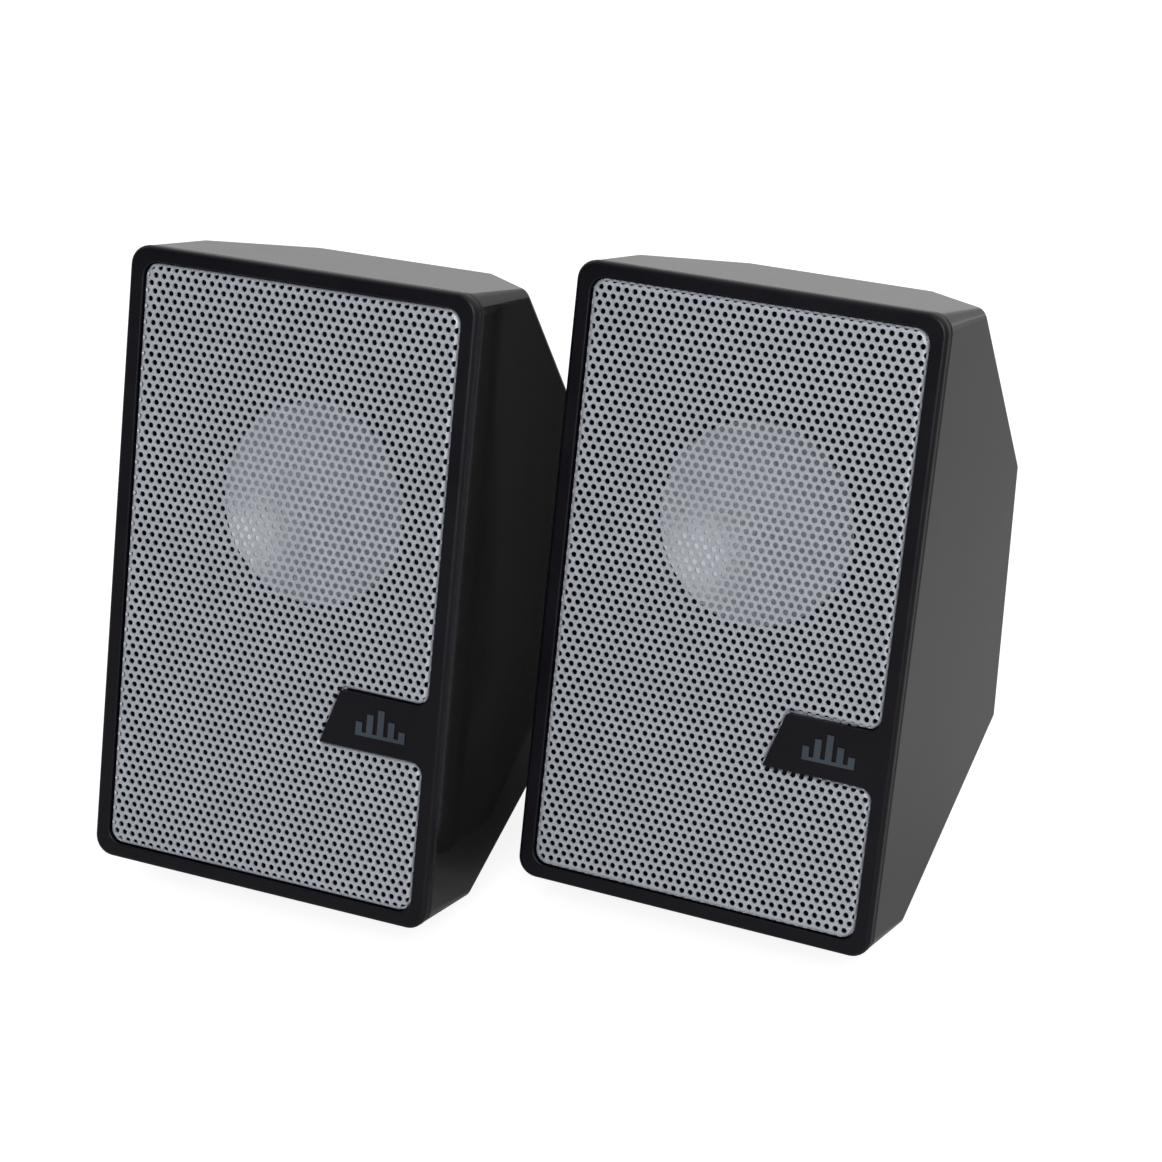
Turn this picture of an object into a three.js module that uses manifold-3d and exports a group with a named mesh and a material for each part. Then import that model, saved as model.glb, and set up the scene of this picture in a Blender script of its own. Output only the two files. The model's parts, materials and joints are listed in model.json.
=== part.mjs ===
// A pair of small desktop speakers that lean back on hidden stand feet. Each cabinet is a front frame
// with a pressed metal grille and a faceted rear shell, closed round one full-range driver. The right
// cabinet also holds the amplifier board and the volume thumbwheel.
//
// Millimetres, +Z up, fronts towards -Y. The origin is the middle of the pair's footprint, on the table.
// A cabinet is drawn in its own frame: x to the right, y into the cabinet from the front face, z up the
// front face, with the origin in the middle of that face.

import * as THREE from 'three';
import { mergeVertices } from 'three/addons/utils/BufferGeometryUtils.js';
import { ConvexGeometry } from 'three/addons/geometries/ConvexGeometry.js';
import Module from 'manifold-3d';

const wasm = await Module();
wasm.setup();

// Cabinet outline
const WIDTH = 84;
const HEIGHT = 139;
const CORNER_RADIUS = 4.4;     // at the front, tapering to the facets' own radius
const SIDE_DRAFT = Math.tan(THREE.MathUtils.degToRad(1.2));
const TOP_DRAFT = Math.tan(THREE.MathUtils.degToRad(1.8));
const BOTTOM_DRAFT = Math.tan(THREE.MathUtils.degToRad(4.5));
const FACET_SLOPE = 1.2;       // depth gained by a corner facet for each millimetre towards the middle
const RIDGE_X = 22;            // half-width of the flat middle of the back
const UPPER = { cornerY: 25.5, sideY: 69.5, sideZ: 29.2, radius: 2.2 };
const LOWER = { cornerY: 23, sideY: 78.4, sideZ: -31.6, radius: 1.2 };
const WALL = 1.8;
const GAP = 0.3;               // clearance between pieces that touch

// Front frame and grille
const RIM = { side: 3.6, end: 3.3 };
const SKIRT_DEPTH = 2.4;       // the frame's side, as far as the seam with the rear shell
const GROOVE = { inset: 0.6, back: 2.8 };
const SHELL_FRONT = 3;
const LIP = { inset: 3, radius: 4.5, front: 1.8 };       // wall that reaches back inside the shell
const LEDGE = { inset: 0.9, front: 1.9 };                // step behind the grille's edge
const FRONT_CHAMFER = 0.8;
const BAFFLE_FRONT = 9;
const BAFFLE_BACK = 11.5;
const OPENING_RADIUS = 3.4;
const TAB = { top: -19.6, bottom: -32.1, leftTop: 17.3, leftBottom: 13.1, thickness: 3, fillet: 3 };
const GRILLE = { front: 0.15, sheet: 1, depth: 1.6 };
const BARS = [2.2, 4.2, 5.6, 3.4, 1.8];
const BADGE = { barWidth: 1.5, pitch: 2.6, base: 0.8, raise: 0.3, clear: 0.08 };

// Driver
const DRIVER_Z = 16.5;
const BAFFLE_HOLE_R = 24.5;
const FLANGE = { half: 31, radius: 6, front: 11.8, back: 13, screwAt: 26.8 };
const BASKET = { mouthR: 28, mouthBack: 16.5, neckR: 18.8, neckFront: 29, wall: 1.2, innerR: 8.2 };
const SURROUND = { innerR: 22.8, middleR: 24.5, outerR: 26.4, rollR: 1.5, sheet: 0.6, back: 14.4 };
const CONE = { rimR: 22.4, rimY: 14, depth: 7, thickness: 0.8 };
const COIL = { inner: 6.7, outer: 7.3, front: 22.2, back: 36 };
const SPIDER = { innerR: 7.7, outerR: 18.4, front: 26, waves: 2, wave: 1.2, sheet: 0.5 };
const MOTOR = { plateFront: 31.6, plateBack: 34.6, magnetBack: 43, yokeBack: 46.2, magnetR: 18, poleR: 6.1 };
const TERMINALS = { width: 14, height: 9, thickness: 1.2 };
const DRIVER_SCREW = { head: 1.6, tip: 9.4 };

// Placement
const LEAN = THREE.MathUtils.degToRad(13.2);
const TOE_IN = THREE.MathUtils.degToRad(0.77);
const SPACING_X = 91.4;
const STAGGER_Y = 31.4;

// Stand foot and its pads
const FOOT = { half: 24, from: 27, to: 80, height: 15, radius: 5, clear: 0.8, underEdge: 3.3 };
const PAD = { length: 38, width: 7, thickness: 1.5, radius: 3 };

// Housing screws, at the four corners of the cabinet
const HOUSING_SCREW = { x: 31, z: 57, seat: 22, wellR: 3.6, tubeR: 5, head: 2, tip: 12.5 };
const BOSS = { radius: 3.8, back: 18 };
const SCREW_R = 1.3;
const HEAD_R = 2.7;

// Facets round a full circle
const LARGE_ROUND = 20;
const MEDIUM_ROUND = 14;
const SMALL_ROUND = 8;
const HOLE_ROUND = 6;
const CORNER_STEPS = 3;

// Volume control and circuit board, in the right cabinet
const WHEEL = { x: -25, y: 80.7, z: -5, radius: 11, thickness: 4.2, stubR: 1.5, stub: 3.4, edge: 0.5 };
const WHEEL_SLOT = { around: 0.8, above: 0.6 };
const POT_SIDE = 9;
const BOARD = { top: -12, thickness: 1.6, front: 56, back: 90, right: 13, left: -34 };
const BOARD_CUT = { long: 14, wide: 12 };
const RAIL = { places: [-14, 6], width: 2, length: 20, height: 5 };
const CAPACITOR = { x: -9, y: 63, radius: 5, height: 15 };
const CHIP = { x: -9, y: 80, width: 10, length: 8, height: 2.2 };
const HEATSINK = { x: 5, y: 73, width: 14, length: 18, base: 2, height: 12, fin: 1.4, fins: [-6, -2, 2, 6] };

// Rubber glands for the leads, on the flat middle of the back
const GLAND_Z = -25;
const GLAND_X = 9;
const GLAND = { neckR: 3.9, flangeR: 5.6, boreR: 1.7, inside: 4.5, outside: 2.2 };

// ---------------------------------------------------------------- solids and meshes

function solid(geometry) {
  const bare = geometry.clone();
  bare.deleteAttribute('normal');
  bare.deleteAttribute('uv');
  const merged = mergeVertices(bare, 1e-4);
  const index = merged.index.array;
  const triangles = [];
  for (let i = 0; i < index.length; i += 3) {
    const [a, b, c] = [index[i], index[i + 1], index[i + 2]];
    if (a !== b && b !== c && c !== a) triangles.push(a, b, c);
  }
  return new wasm.Manifold(new wasm.Mesh({
    numProp: 3,
    vertProperties: new Float32Array(merged.attributes.position.array),
    triVerts: new Uint32Array(triangles),
  }));
}

function geometryOf(body) {
  const { vertProperties, triVerts } = body.getMesh();
  const geometry = new THREE.BufferGeometry();
  geometry.setAttribute('position', new THREE.BufferAttribute(vertProperties, 3));
  geometry.setIndex(new THREE.BufferAttribute(triVerts, 1));
  geometry.computeVertexNormals();
  return geometry;
}

const FINISH = {
  frame: { color: 0x212024, roughness: 0.6, metalness: 0 },
  shell: { color: 0x121214, roughness: 0.22, metalness: 0 },
  grille: { color: 0xa5aab4, roughness: 0.45, metalness: 0.6 },
  badge: { color: 0x4a5361, roughness: 0.5, metalness: 0 },
  cone: { color: 0xb4b6ba, roughness: 0.35, metalness: 0.5 },
  rubber: { color: 0x161616, roughness: 0.9, metalness: 0 },
  steel: { color: 0x8e9196, roughness: 0.4, metalness: 0.9 },
  zinc: { color: 0xb9bcc0, roughness: 0.35, metalness: 0.9 },
  ferrite: { color: 0x2b2b2d, roughness: 0.8, metalness: 0 },
  copper: { color: 0xa8622e, roughness: 0.4, metalness: 0.7 },
  spider: { color: 0xb98a3c, roughness: 0.95, metalness: 0 },
  board: { color: 0x1f5a34, roughness: 0.6, metalness: 0 },
  moulding: { color: 0x18181a, roughness: 0.7, metalness: 0 },
  aluminium: { color: 0xa7a9ac, roughness: 0.5, metalness: 0.9 },
};

function piece(name, shape, finish) {
  const geometry = shape.isBufferGeometry ? geometryOf(solid(shape)) : geometryOf(shape);
  const mesh = new THREE.Mesh(geometry, new THREE.MeshStandardMaterial(FINISH[finish]));
  mesh.name = name;
  return mesh;
}

// ---------------------------------------------------------------- basic forms

function roundedRectangle(halfWidth, halfHeight, radius) {
  const shape = new THREE.Shape();
  shape.absarc(halfWidth - radius, -halfHeight + radius, radius, -Math.PI / 2, 0);
  shape.absarc(halfWidth - radius, halfHeight - radius, radius, 0, Math.PI / 2);
  shape.absarc(-halfWidth + radius, halfHeight - radius, radius, Math.PI / 2, Math.PI);
  shape.absarc(-halfWidth + radius, -halfHeight + radius, radius, Math.PI, Math.PI * 1.5);
  shape.closePath();
  return shape;
}

// A shape drawn in x and y, raised by a height.
function upright(shape, height) {
  const settings = { depth: height, bevelEnabled: false, curveSegments: CORNER_STEPS };
  return new THREE.ExtrudeGeometry(shape, settings);
}

// A shape drawn in x and z, swept from one depth to another.
function slab(shape, yFront, yBack) {
  return upright(shape, yBack - yFront).rotateX(Math.PI / 2).translate(0, yBack, 0);
}

// A closed (radius, y) outline turned about the y axis. Outlines run up the outside and down the inside.
function turned(outline, segments) {
  const points = outline.map(([radius, y]) => new THREE.Vector2(radius, y));
  return new THREE.LatheGeometry(points, segments);
}

function rod(radius, yFront, yBack, segments = SMALL_ROUND) {
  return turned([[0, yFront], [radius, yFront], [radius, yBack], [0, yBack]], segments);
}

function ring(inner, outer, yFront, yBack, segments = LARGE_ROUND) {
  const outline = [[inner, yFront], [outer, yFront], [outer, yBack], [inner, yBack], [inner, yFront]];
  return turned(outline, segments);
}

function box(xSize, ySize, zSize, x, y, z) {
  return new THREE.BoxGeometry(xSize, ySize, zSize).translate(x, y, z);
}

function outlinePoints(shape, y) {
  return shape.getPoints(CORNER_STEPS).map((p) => new THREE.Vector3(p.x, y, p.y));
}

// ---------------------------------------------------------------- cabinet

// The sharp corners that each pair of corner facets meets, on the right-hand side.
function facetCorners(half) {
  const upper = half === UPPER;
  const edgeZ = (y) => (upper ? HEIGHT / 2 - y * TOP_DRAFT : -HEIGHT / 2 + y * BOTTOM_DRAFT);
  const sideX = (y) => WIDTH / 2 - y * SIDE_DRAFT;
  const corner = new THREE.Vector3(sideX(half.cornerY), half.cornerY, edgeZ(half.cornerY));
  const side = new THREE.Vector3(sideX(half.sideY), half.sideY, half.sideZ);
  const rise = (side.y - corner.y + FACET_SLOPE * (side.x - corner.x)) / (side.z - corner.z);
  const depthAt = (x, z) => corner.y - FACET_SLOPE * (x - corner.x) + rise * (z - corner.z);
  const ridge = new THREE.Vector3(RIDGE_X, depthAt(RIDGE_X, corner.z), corner.z);
  ridge.z = edgeZ(ridge.y);
  const rear = new THREE.Vector3(RIDGE_X, depthAt(RIDGE_X, half.sideZ), half.sideZ);
  return { corner, side, ridge, rear, depthAt };
}

// Corner points of the whole cabinet behind the seam. Its long edges are rounded, less so towards the facets.
function cabinetPoints() {
  const halfWidth = WIDTH / 2 - SHELL_FRONT * SIDE_DRAFT;
  const front = roundedRectangle(halfWidth, HEIGHT / 2 - SHELL_FRONT * TOP_DRAFT, CORNER_RADIUS);
  const points = outlinePoints(front, SHELL_FRONT);
  for (const half of [UPPER, LOWER]) {
    const { corner, side, ridge, rear, depthAt } = facetCorners(half);
    const { radius } = half;
    const up = Math.sign(corner.z);
    const quarter = [side, ridge, rear];
    for (let i = 0; i <= CORNER_STEPS; i += 1) {
      const angle = i / CORNER_STEPS * Math.PI / 2;
      const x = corner.x - radius * (1 - Math.cos(angle));
      const z = corner.z - up * radius * (1 - Math.sin(angle));
      quarter.push(new THREE.Vector3(x, depthAt(x, z), z));
    }
    for (const p of quarter) {
      points.push(p, new THREE.Vector3(-p.x, p.y, p.z));
    }
  }
  return points;
}

function cabinetHull() {
  return new ConvexGeometry(cabinetPoints());
}

// The same form one wall thickness smaller, carried through the open front.
function cabinetHollow() {
  const depth = facetCorners(LOWER).rear.y - SHELL_FRONT;
  const smaller = cabinetPoints().map((p) => new THREE.Vector3(
    p.x * (1 - 2 * WALL / WIDTH),
    SHELL_FRONT + (p.y - SHELL_FRONT) * (1 - WALL / depth),
    p.z * (1 - 2 * WALL / HEIGHT),
  ));
  const rim = smaller.filter((p) => p.y < SHELL_FRONT + 0.1);
  const mouth = rim.map((p) => new THREE.Vector3(p.x, SHELL_FRONT - 1, p.z));
  return new ConvexGeometry([...smaller, ...mouth]);
}

function housingScrewPlaces() {
  const places = [];
  for (const x of [-HOUSING_SCREW.x, HOUSING_SCREW.x]) {
    for (const z of [HOUSING_SCREW.z, -HOUSING_SCREW.z]) places.push([x, z]);
  }
  return places;
}

// Frame on the flat middle of the back: its y axis points straight out of the wall.
function rearWallMatrix(x, z) {
  const top = facetCorners(UPPER).rear;
  const bottom = facetCorners(LOWER).rear;
  const slope = (bottom.y - top.y) / (top.z - bottom.z);
  const y = top.y + slope * (top.z - z);
  return new THREE.Matrix4().makeRotationX(Math.atan(slope)).setPosition(x, y, z);
}

function rearShell(isRight) {
  let body = solid(cabinetHull()).subtract(solid(cabinetHollow()));
  const inside = solid(cabinetHull());
  for (const [x, z] of housingScrewPlaces()) {
    const tube = rod(HOUSING_SCREW.tubeR, BOSS.back + GAP, UPPER.sideY).translate(x, 0, z);
    const well = rod(HOUSING_SCREW.wellR, HOUSING_SCREW.seat, LOWER.sideY).translate(x, 0, z);
    const hole = rod(SCREW_R + GAP, BOSS.back, HOUSING_SCREW.seat + 1, HOLE_ROUND).translate(x, 0, z);
    body = body.add(solid(tube).intersect(inside)).subtract(solid(well)).subtract(solid(hole));
  }
  for (const x of isRight ? [-GLAND_X, GLAND_X] : [-GLAND_X]) {
    const hole = rod(GLAND.neckR + GAP, -3 * WALL, 3 * WALL, MEDIUM_ROUND);
    body = body.subtract(solid(hole.applyMatrix4(rearWallMatrix(x, GLAND_Z))));
  }
  if (isRight) {
    const half = WHEEL.thickness / 2 + WHEEL_SLOT.above;
    const slot = rod(WHEEL.radius + WHEEL_SLOT.around, -half, half, LARGE_ROUND);
    slot.rotateX(Math.PI / 2).translate(WHEEL.x, WHEEL.y, WHEEL.z);
    body = body.subtract(solid(slot));
    for (const x of RAIL.places) {
      const middleZ = BOARD.top - BOARD.thickness - GAP - RAIL.height / 2;
      const rail = box(RAIL.width, RAIL.length, RAIL.height, x, BOARD.back, middleZ);
      body = body.add(solid(rail).intersect(inside));
    }
  }
  return body;
}

// ---------------------------------------------------------------- front frame, grille and badge

// The opening in the frame. On the right the tab reaches into it, with a slanted left end.
function openingShape(inset, withTab) {
  const a = WIDTH / 2 - RIM.side - inset;
  const b = HEIGHT / 2 - RIM.end - inset;
  const r = OPENING_RADIUS;
  const shape = new THREE.Shape();
  shape.absarc(a - r, -b + r, r, -Math.PI / 2, 0);
  if (withTab) {
    const top = TAB.top + inset;
    const bottom = TAB.bottom - inset;
    const lean = (TAB.leftTop - TAB.leftBottom) / (TAB.top - TAB.bottom);
    const leftAt = (z) => TAB.leftBottom + lean * (z - TAB.bottom) - inset * Math.hypot(1, lean);
    shape.absarc(a - TAB.fillet, bottom - TAB.fillet, TAB.fillet, 0, Math.PI / 2);
    shape.lineTo(leftAt(bottom), bottom);
    shape.lineTo(leftAt(top), top);
    shape.absarc(a - TAB.fillet, top + TAB.fillet, TAB.fillet, -Math.PI / 2, 0);
  }
  shape.absarc(a - r, b - r, r, 0, Math.PI / 2);
  shape.absarc(-a + r, b - r, r, Math.PI / 2, Math.PI);
  shape.absarc(-a + r, -b + r, r, Math.PI, Math.PI * 1.5);
  shape.closePath();
  return shape;
}

function frontFrame() {
  const faceRadius = CORNER_RADIUS - FRONT_CHAMFER;
  const face = roundedRectangle(WIDTH / 2 - FRONT_CHAMFER, HEIGHT / 2 - FRONT_CHAMFER, faceRadius);
  const skirt = roundedRectangle(WIDTH / 2, HEIGHT / 2, CORNER_RADIUS);
  const rim = new ConvexGeometry([
    ...outlinePoints(face, 0),
    ...outlinePoints(skirt, FRONT_CHAMFER),
    ...outlinePoints(skirt, SKIRT_DEPTH),
  ]);
  const lipShape = roundedRectangle(WIDTH / 2 - LIP.inset, HEIGHT / 2 - LIP.inset, LIP.radius);
  const lip = slab(lipShape, LIP.front, BAFFLE_BACK);
  const grooved = roundedRectangle(
    WIDTH / 2 - GROOVE.inset,
    HEIGHT / 2 - GROOVE.inset,
    CORNER_RADIUS - GROOVE.inset,
  );
  let body = solid(rim).add(solid(lip)).add(solid(slab(grooved, LIP.front, GROOVE.back)));
  body = body.subtract(solid(slab(openingShape(0, true), -1, LEDGE.front)));
  body = body.subtract(solid(slab(openingShape(LEDGE.inset, true), LEDGE.front - 0.1, TAB.thickness)));
  body = body.subtract(solid(slab(openingShape(LEDGE.inset, false), TAB.thickness, BAFFLE_FRONT)));
  const driverHole = rod(BAFFLE_HOLE_R, BAFFLE_FRONT - 1, BAFFLE_BACK + 1, LARGE_ROUND);
  body = body.subtract(solid(driverHole.translate(0, 0, DRIVER_Z)));
  for (const [x, z] of housingScrewPlaces()) {
    body = body.add(solid(rod(BOSS.radius, BAFFLE_BACK - 0.5, BOSS.back).translate(x, 0, z)));
    const bore = rod(SCREW_R + GAP, BAFFLE_BACK - 0.5, BOSS.back + 1, HOLE_ROUND);
    body = body.subtract(solid(bore.translate(x, 0, z)));
  }
  for (const [x, z] of driverScrewPlaces()) {
    const bore = rod(SCREW_R + GAP, BAFFLE_FRONT - 1, BAFFLE_BACK + 1, HOLE_ROUND);
    body = body.subtract(solid(bore.translate(x, 0, z)));
  }
  return body;
}

// A shallow pan: flat sheet with its edge turned back into the frame.
function grille() {
  const pan = solid(slab(openingShape(GAP, true), GRILLE.front, GRILLE.front + GRILLE.depth));
  const inside = slab(
    openingShape(GAP + GRILLE.sheet, true),
    GRILLE.front + GRILLE.sheet,
    GRILLE.front + GRILLE.depth + 1,
  );
  return pan.subtract(solid(inside));
}

// A plain level-bar emblem: five bars standing on one base line.
function badge() {
  const { barWidth, pitch, base } = BADGE;
  const shape = new THREE.Shape();
  const left = -pitch * 2 - barWidth / 2;
  shape.moveTo(left, 0);
  shape.lineTo(-left, 0);
  for (let i = BARS.length - 1; i >= 0; i -= 1) {
    const middle = (i - 2) * pitch;
    shape.lineTo(middle + barWidth / 2, base + BARS[i]);
    shape.lineTo(middle - barWidth / 2, base + BARS[i]);
    if (i > 0) {
      shape.lineTo(middle - barWidth / 2, base);
      shape.lineTo(middle - pitch + barWidth / 2, base);
    }
  }
  shape.closePath();
  const middleX = (TAB.leftTop + WIDTH / 2 - RIM.side) / 2;
  const bottomZ = (TAB.top + TAB.bottom - Math.max(...BARS)) / 2;
  return slab(shape, -BADGE.raise, -BADGE.clear).translate(middleX, 0, bottomZ);
}

// ---------------------------------------------------------------- driver

function driverScrewPlaces() {
  const places = [];
  for (const x of [-FLANGE.screwAt, FLANGE.screwAt]) {
    for (const z of [FLANGE.screwAt, -FLANGE.screwAt]) places.push([x, DRIVER_Z + z]);
  }
  return places;
}

// Stamped basket: square flange, conical wall with four windows, flat ring for the motor.
function basket() {
  const { mouthR, mouthBack, neckR, neckFront, wall, innerR } = BASKET;
  const back = MOTOR.plateFront - GAP;
  const flangeShape = roundedRectangle(FLANGE.half, FLANGE.half, FLANGE.radius);
  const flange = solid(slab(flangeShape, FLANGE.front, FLANGE.back));
  const dish = solid(turned([
    [mouthR - wall, FLANGE.front], [mouthR, FLANGE.front], [mouthR, mouthBack], [neckR, neckFront],
    [neckR, back], [innerR, back], [innerR, back - wall], [neckR - wall, back - wall],
    [neckR - wall, neckFront - wall / 2], [mouthR - wall, mouthBack - wall / 2],
    [mouthR - wall, FLANGE.front],
  ], LARGE_ROUND));
  const mouth = rod(mouthR - wall / 2, FLANGE.front - 1, FLANGE.back + 1, LARGE_ROUND);
  let body = flange.subtract(solid(mouth)).add(dish);
  for (const [x, z] of driverScrewPlaces()) {
    const hole = rod(SCREW_R + GAP, FLANGE.front - 1, FLANGE.back + 1, HOLE_ROUND);
    body = body.subtract(solid(hole.translate(x, 0, z - DRIVER_Z)));
  }
  for (const quarter of [0, 1]) {
    const middleY = (mouthBack + neckFront) / 2;
    const window = box(mouthR * 0.65, 9, mouthR * 2.5, 0, middleY, 0);
    window.rotateY(Math.PI / 4 + quarter * Math.PI / 2);
    body = body.subtract(solid(window));
  }
  return body;
}

// Half-roll suspension between the cone's rim and the basket.
function surround() {
  const { innerR, middleR, outerR, rollR, sheet, back } = SURROUND;
  const front = back - sheet;
  const angles = [0, 1, 2, 3].map((i) => Math.PI - i * Math.PI / 3);
  const roll = (radius, y) => angles.map((a) => [middleR + radius * Math.cos(a), y - radius * Math.sin(a)]);
  return turned([
    [innerR, back], [innerR, front], ...roll(rollR, front), [outerR, front],
    [outerR, back], ...roll(rollR - sheet, back).reverse(), [innerR, back],
  ], LARGE_ROUND);
}

// Smooth concave dish with no separate dust cap.
function cone() {
  const steps = 4;
  const front = [];
  const back = [];
  for (let i = 0; i <= steps; i += 1) {
    const r = CONE.rimR * i / steps;
    const y = CONE.rimY + CONE.depth * (1 - (r / CONE.rimR) ** 2);
    front.push([r, y]);
    back.unshift([r, y + CONE.thickness]);
  }
  return turned([...front, ...back], LARGE_ROUND);
}

function spider() {
  const steps = SPIDER.waves * 2;
  const front = [];
  const back = [];
  for (let i = 0; i <= steps; i += 1) {
    const r = SPIDER.innerR + (SPIDER.outerR - SPIDER.innerR) * i / steps;
    const y = SPIDER.front + (i % 2 === 0 ? 0 : SPIDER.wave);
    front.push([r, y]);
    back.unshift([r, y + SPIDER.sheet]);
  }
  return turned([...front, ...back, front[0]], LARGE_ROUND);
}

function yoke() {
  return turned([
    [0, MOTOR.plateFront - 1], [MOTOR.poleR, MOTOR.plateFront - 1], [MOTOR.poleR, MOTOR.magnetBack + GAP],
    [MOTOR.magnetR - 2, MOTOR.magnetBack + GAP], [MOTOR.magnetR - 2, MOTOR.yokeBack], [0, MOTOR.yokeBack],
  ], LARGE_ROUND);
}

function screw(headSeat, headHeight, tip) {
  return turned([
    [0, tip], [SCREW_R, tip], [SCREW_R, headSeat], [HEAD_R, headSeat],
    [HEAD_R, headSeat + headHeight * 0.5], [HEAD_R * 0.6, headSeat + headHeight], [0, headSeat + headHeight],
  ], SMALL_ROUND);
}

function driverParts(side) {
  const driver = new THREE.Group();
  driver.position.z = DRIVER_Z;
  const terminals = box(TERMINALS.width, TERMINALS.thickness, TERMINALS.height, 0, 0, 0);
  terminals.translate(0, FLANGE.back + GAP + TERMINALS.thickness / 2, -FLANGE.half - 2);
  const topPlate = ring(COIL.outer + 0.7, MOTOR.magnetR - 2, MOTOR.plateFront, MOTOR.plateBack);
  const magnet = ring(COIL.outer + 2.2, MOTOR.magnetR, MOTOR.plateBack + GAP, MOTOR.magnetBack);
  driver.add(
    piece(`${side}_driver_basket`, basket(), 'steel'),
    piece(`${side}_surround`, surround(), 'rubber'),
    piece(`${side}_cone`, cone(), 'cone'),
    piece(`${side}_voice_coil`, ring(COIL.inner, COIL.outer, COIL.front, COIL.back), 'copper'),
    piece(`${side}_spider`, spider(), 'spider'),
    piece(`${side}_top_plate`, topPlate, 'zinc'),
    piece(`${side}_magnet`, magnet, 'ferrite'),
    piece(`${side}_yoke`, yoke(), 'zinc'),
    piece(`${side}_terminal_strip`, terminals, 'spider'),
  );
  driverScrewPlaces().forEach(([x, z], i) => {
    const shape = screw(FLANGE.back + GAP, DRIVER_SCREW.head, DRIVER_SCREW.tip);
    const fastener = piece(`${side}_driver_screw_${i + 1}`, shape, 'zinc');
    fastener.position.set(x, 0, z - DRIVER_Z);
    driver.add(fastener);
  });
  return driver;
}

// ---------------------------------------------------------------- volume control and amplifier

function volumeWheel() {
  const half = WHEEL.thickness / 2;
  const wheel = turned([
    [0, -half - WHEEL.stub], [WHEEL.stubR, -half - WHEEL.stub], [WHEEL.stubR, -half],
    [WHEEL.radius - WHEEL.edge, -half], [WHEEL.radius, -half + WHEEL.edge], [WHEEL.radius, half - WHEEL.edge],
    [WHEEL.radius - WHEEL.edge, half], [0, half],
  ], LARGE_ROUND);
  wheel.rotateX(Math.PI / 2);
  return wheel;
}

function circuitBoard() {
  const outline = new THREE.Shape([
    new THREE.Vector2(BOARD.left, -BOARD.front),
    new THREE.Vector2(BOARD.left, -BOARD.back + BOARD_CUT.long),
    new THREE.Vector2(BOARD.left + BOARD_CUT.wide, -BOARD.back),
    new THREE.Vector2(BOARD.right, -BOARD.back),
    new THREE.Vector2(BOARD.right, -BOARD.front),
  ]);
  return upright(outline, BOARD.thickness).rotateX(Math.PI).translate(0, 0, BOARD.top);
}

function heatsink() {
  const { width, length, base, height, fin, fins } = HEATSINK;
  let body = solid(box(width, length, base, 0, 0, base / 2));
  for (const x of fins) body = body.add(solid(box(fin, length, height, x, 0, height / 2)));
  return body;
}

function amplifierParts() {
  const parts = new THREE.Group();
  const onBoard = BOARD.top + GAP;
  const wheel = piece('volume_wheel', volumeWheel(), 'moulding');
  wheel.position.set(WHEEL.x, WHEEL.y, WHEEL.z);

  const potHeight = WHEEL.z - WHEEL.thickness / 2 - GAP - onBoard;
  const potBody = solid(box(POT_SIDE, POT_SIDE, potHeight, 0, 0, potHeight / 2));
  const bore = rod(WHEEL.stubR + GAP, -WHEEL.stub, 1).rotateX(Math.PI / 2).translate(0, 0, potHeight);
  const pot = piece('volume_potentiometer', potBody.subtract(solid(bore)), 'steel');
  pot.position.set(WHEEL.x, WHEEL.y, onBoard);
  pot.rotation.z = Math.atan(FACET_SLOPE);

  const can = rod(CAPACITOR.radius, 0, CAPACITOR.height, LARGE_ROUND).rotateX(Math.PI / 2);
  const capacitor = piece('smoothing_capacitor', can, 'moulding');
  capacitor.position.set(CAPACITOR.x, CAPACITOR.y, onBoard);

  const chipBody = box(CHIP.width, CHIP.length, CHIP.height, 0, 0, CHIP.height / 2);
  const chip = piece('amplifier_chip', chipBody, 'moulding');
  chip.position.set(CHIP.x, CHIP.y, onBoard);

  const cooler = piece('amplifier_heatsink', heatsink(), 'aluminium');
  cooler.position.set(HEATSINK.x, HEATSINK.y, onBoard);

  parts.add(piece('amplifier_board', circuitBoard(), 'board'), wheel, pot, capacitor, chip, cooler);
  return parts;
}

// ---------------------------------------------------------------- rear glands and stand foot

function gland() {
  return turned([
    [GLAND.boreR, -GLAND.inside], [GLAND.neckR - 0.6, -GLAND.inside], [GLAND.neckR, -GLAND.inside + 1],
    [GLAND.neckR, GAP], [GLAND.flangeR, GAP], [GLAND.flangeR - 0.6, GLAND.outside],
    [GLAND.boreR, GLAND.outside], [GLAND.boreR, -GLAND.inside],
  ], MEDIUM_ROUND);
}

function rearGland(name, x) {
  const mesh = piece(name, gland(), 'rubber');
  mesh.applyMatrix4(rearWallMatrix(x, GLAND_Z));
  return mesh;
}

// Where the leaning cabinet stands over the table.
function cabinetMatrix() {
  const leaning = new THREE.Matrix4().makeRotationX(-LEAN);
  const lowest = facetCorners(LOWER).ridge.clone().applyMatrix4(leaning);
  return leaning.setPosition(0, 0, FOOT.underEdge - lowest.z);
}

function padPlaces() {
  return [FOOT.from + PAD.width, FOOT.to - PAD.width];
}

// Level y of the cabinet's lowest front edge, which the foot is measured from.
function frontEdgeY() {
  return new THREE.Vector3(0, 0, -HEIGHT / 2).applyMatrix4(cabinetMatrix()).y;
}

// A low block under the cabinet, shaped on top by the two facets that rest in it.
function standFoot() {
  const length = FOOT.to - FOOT.from;
  const block = upright(roundedRectangle(FOOT.half, length / 2, FOOT.radius), FOOT.height);
  block.translate(0, frontEdgeY() + FOOT.from + length / 2, FOOT.clear);
  const resting = cabinetHull().applyMatrix4(cabinetMatrix()).translate(0, 0, -GAP);
  let body = solid(block).subtract(solid(resting));
  for (const y of padPlaces()) {
    const recess = padForm(GAP).translate(0, frontEdgeY() + y, 0);
    body = body.subtract(solid(recess));
  }
  return body;
}

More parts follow.
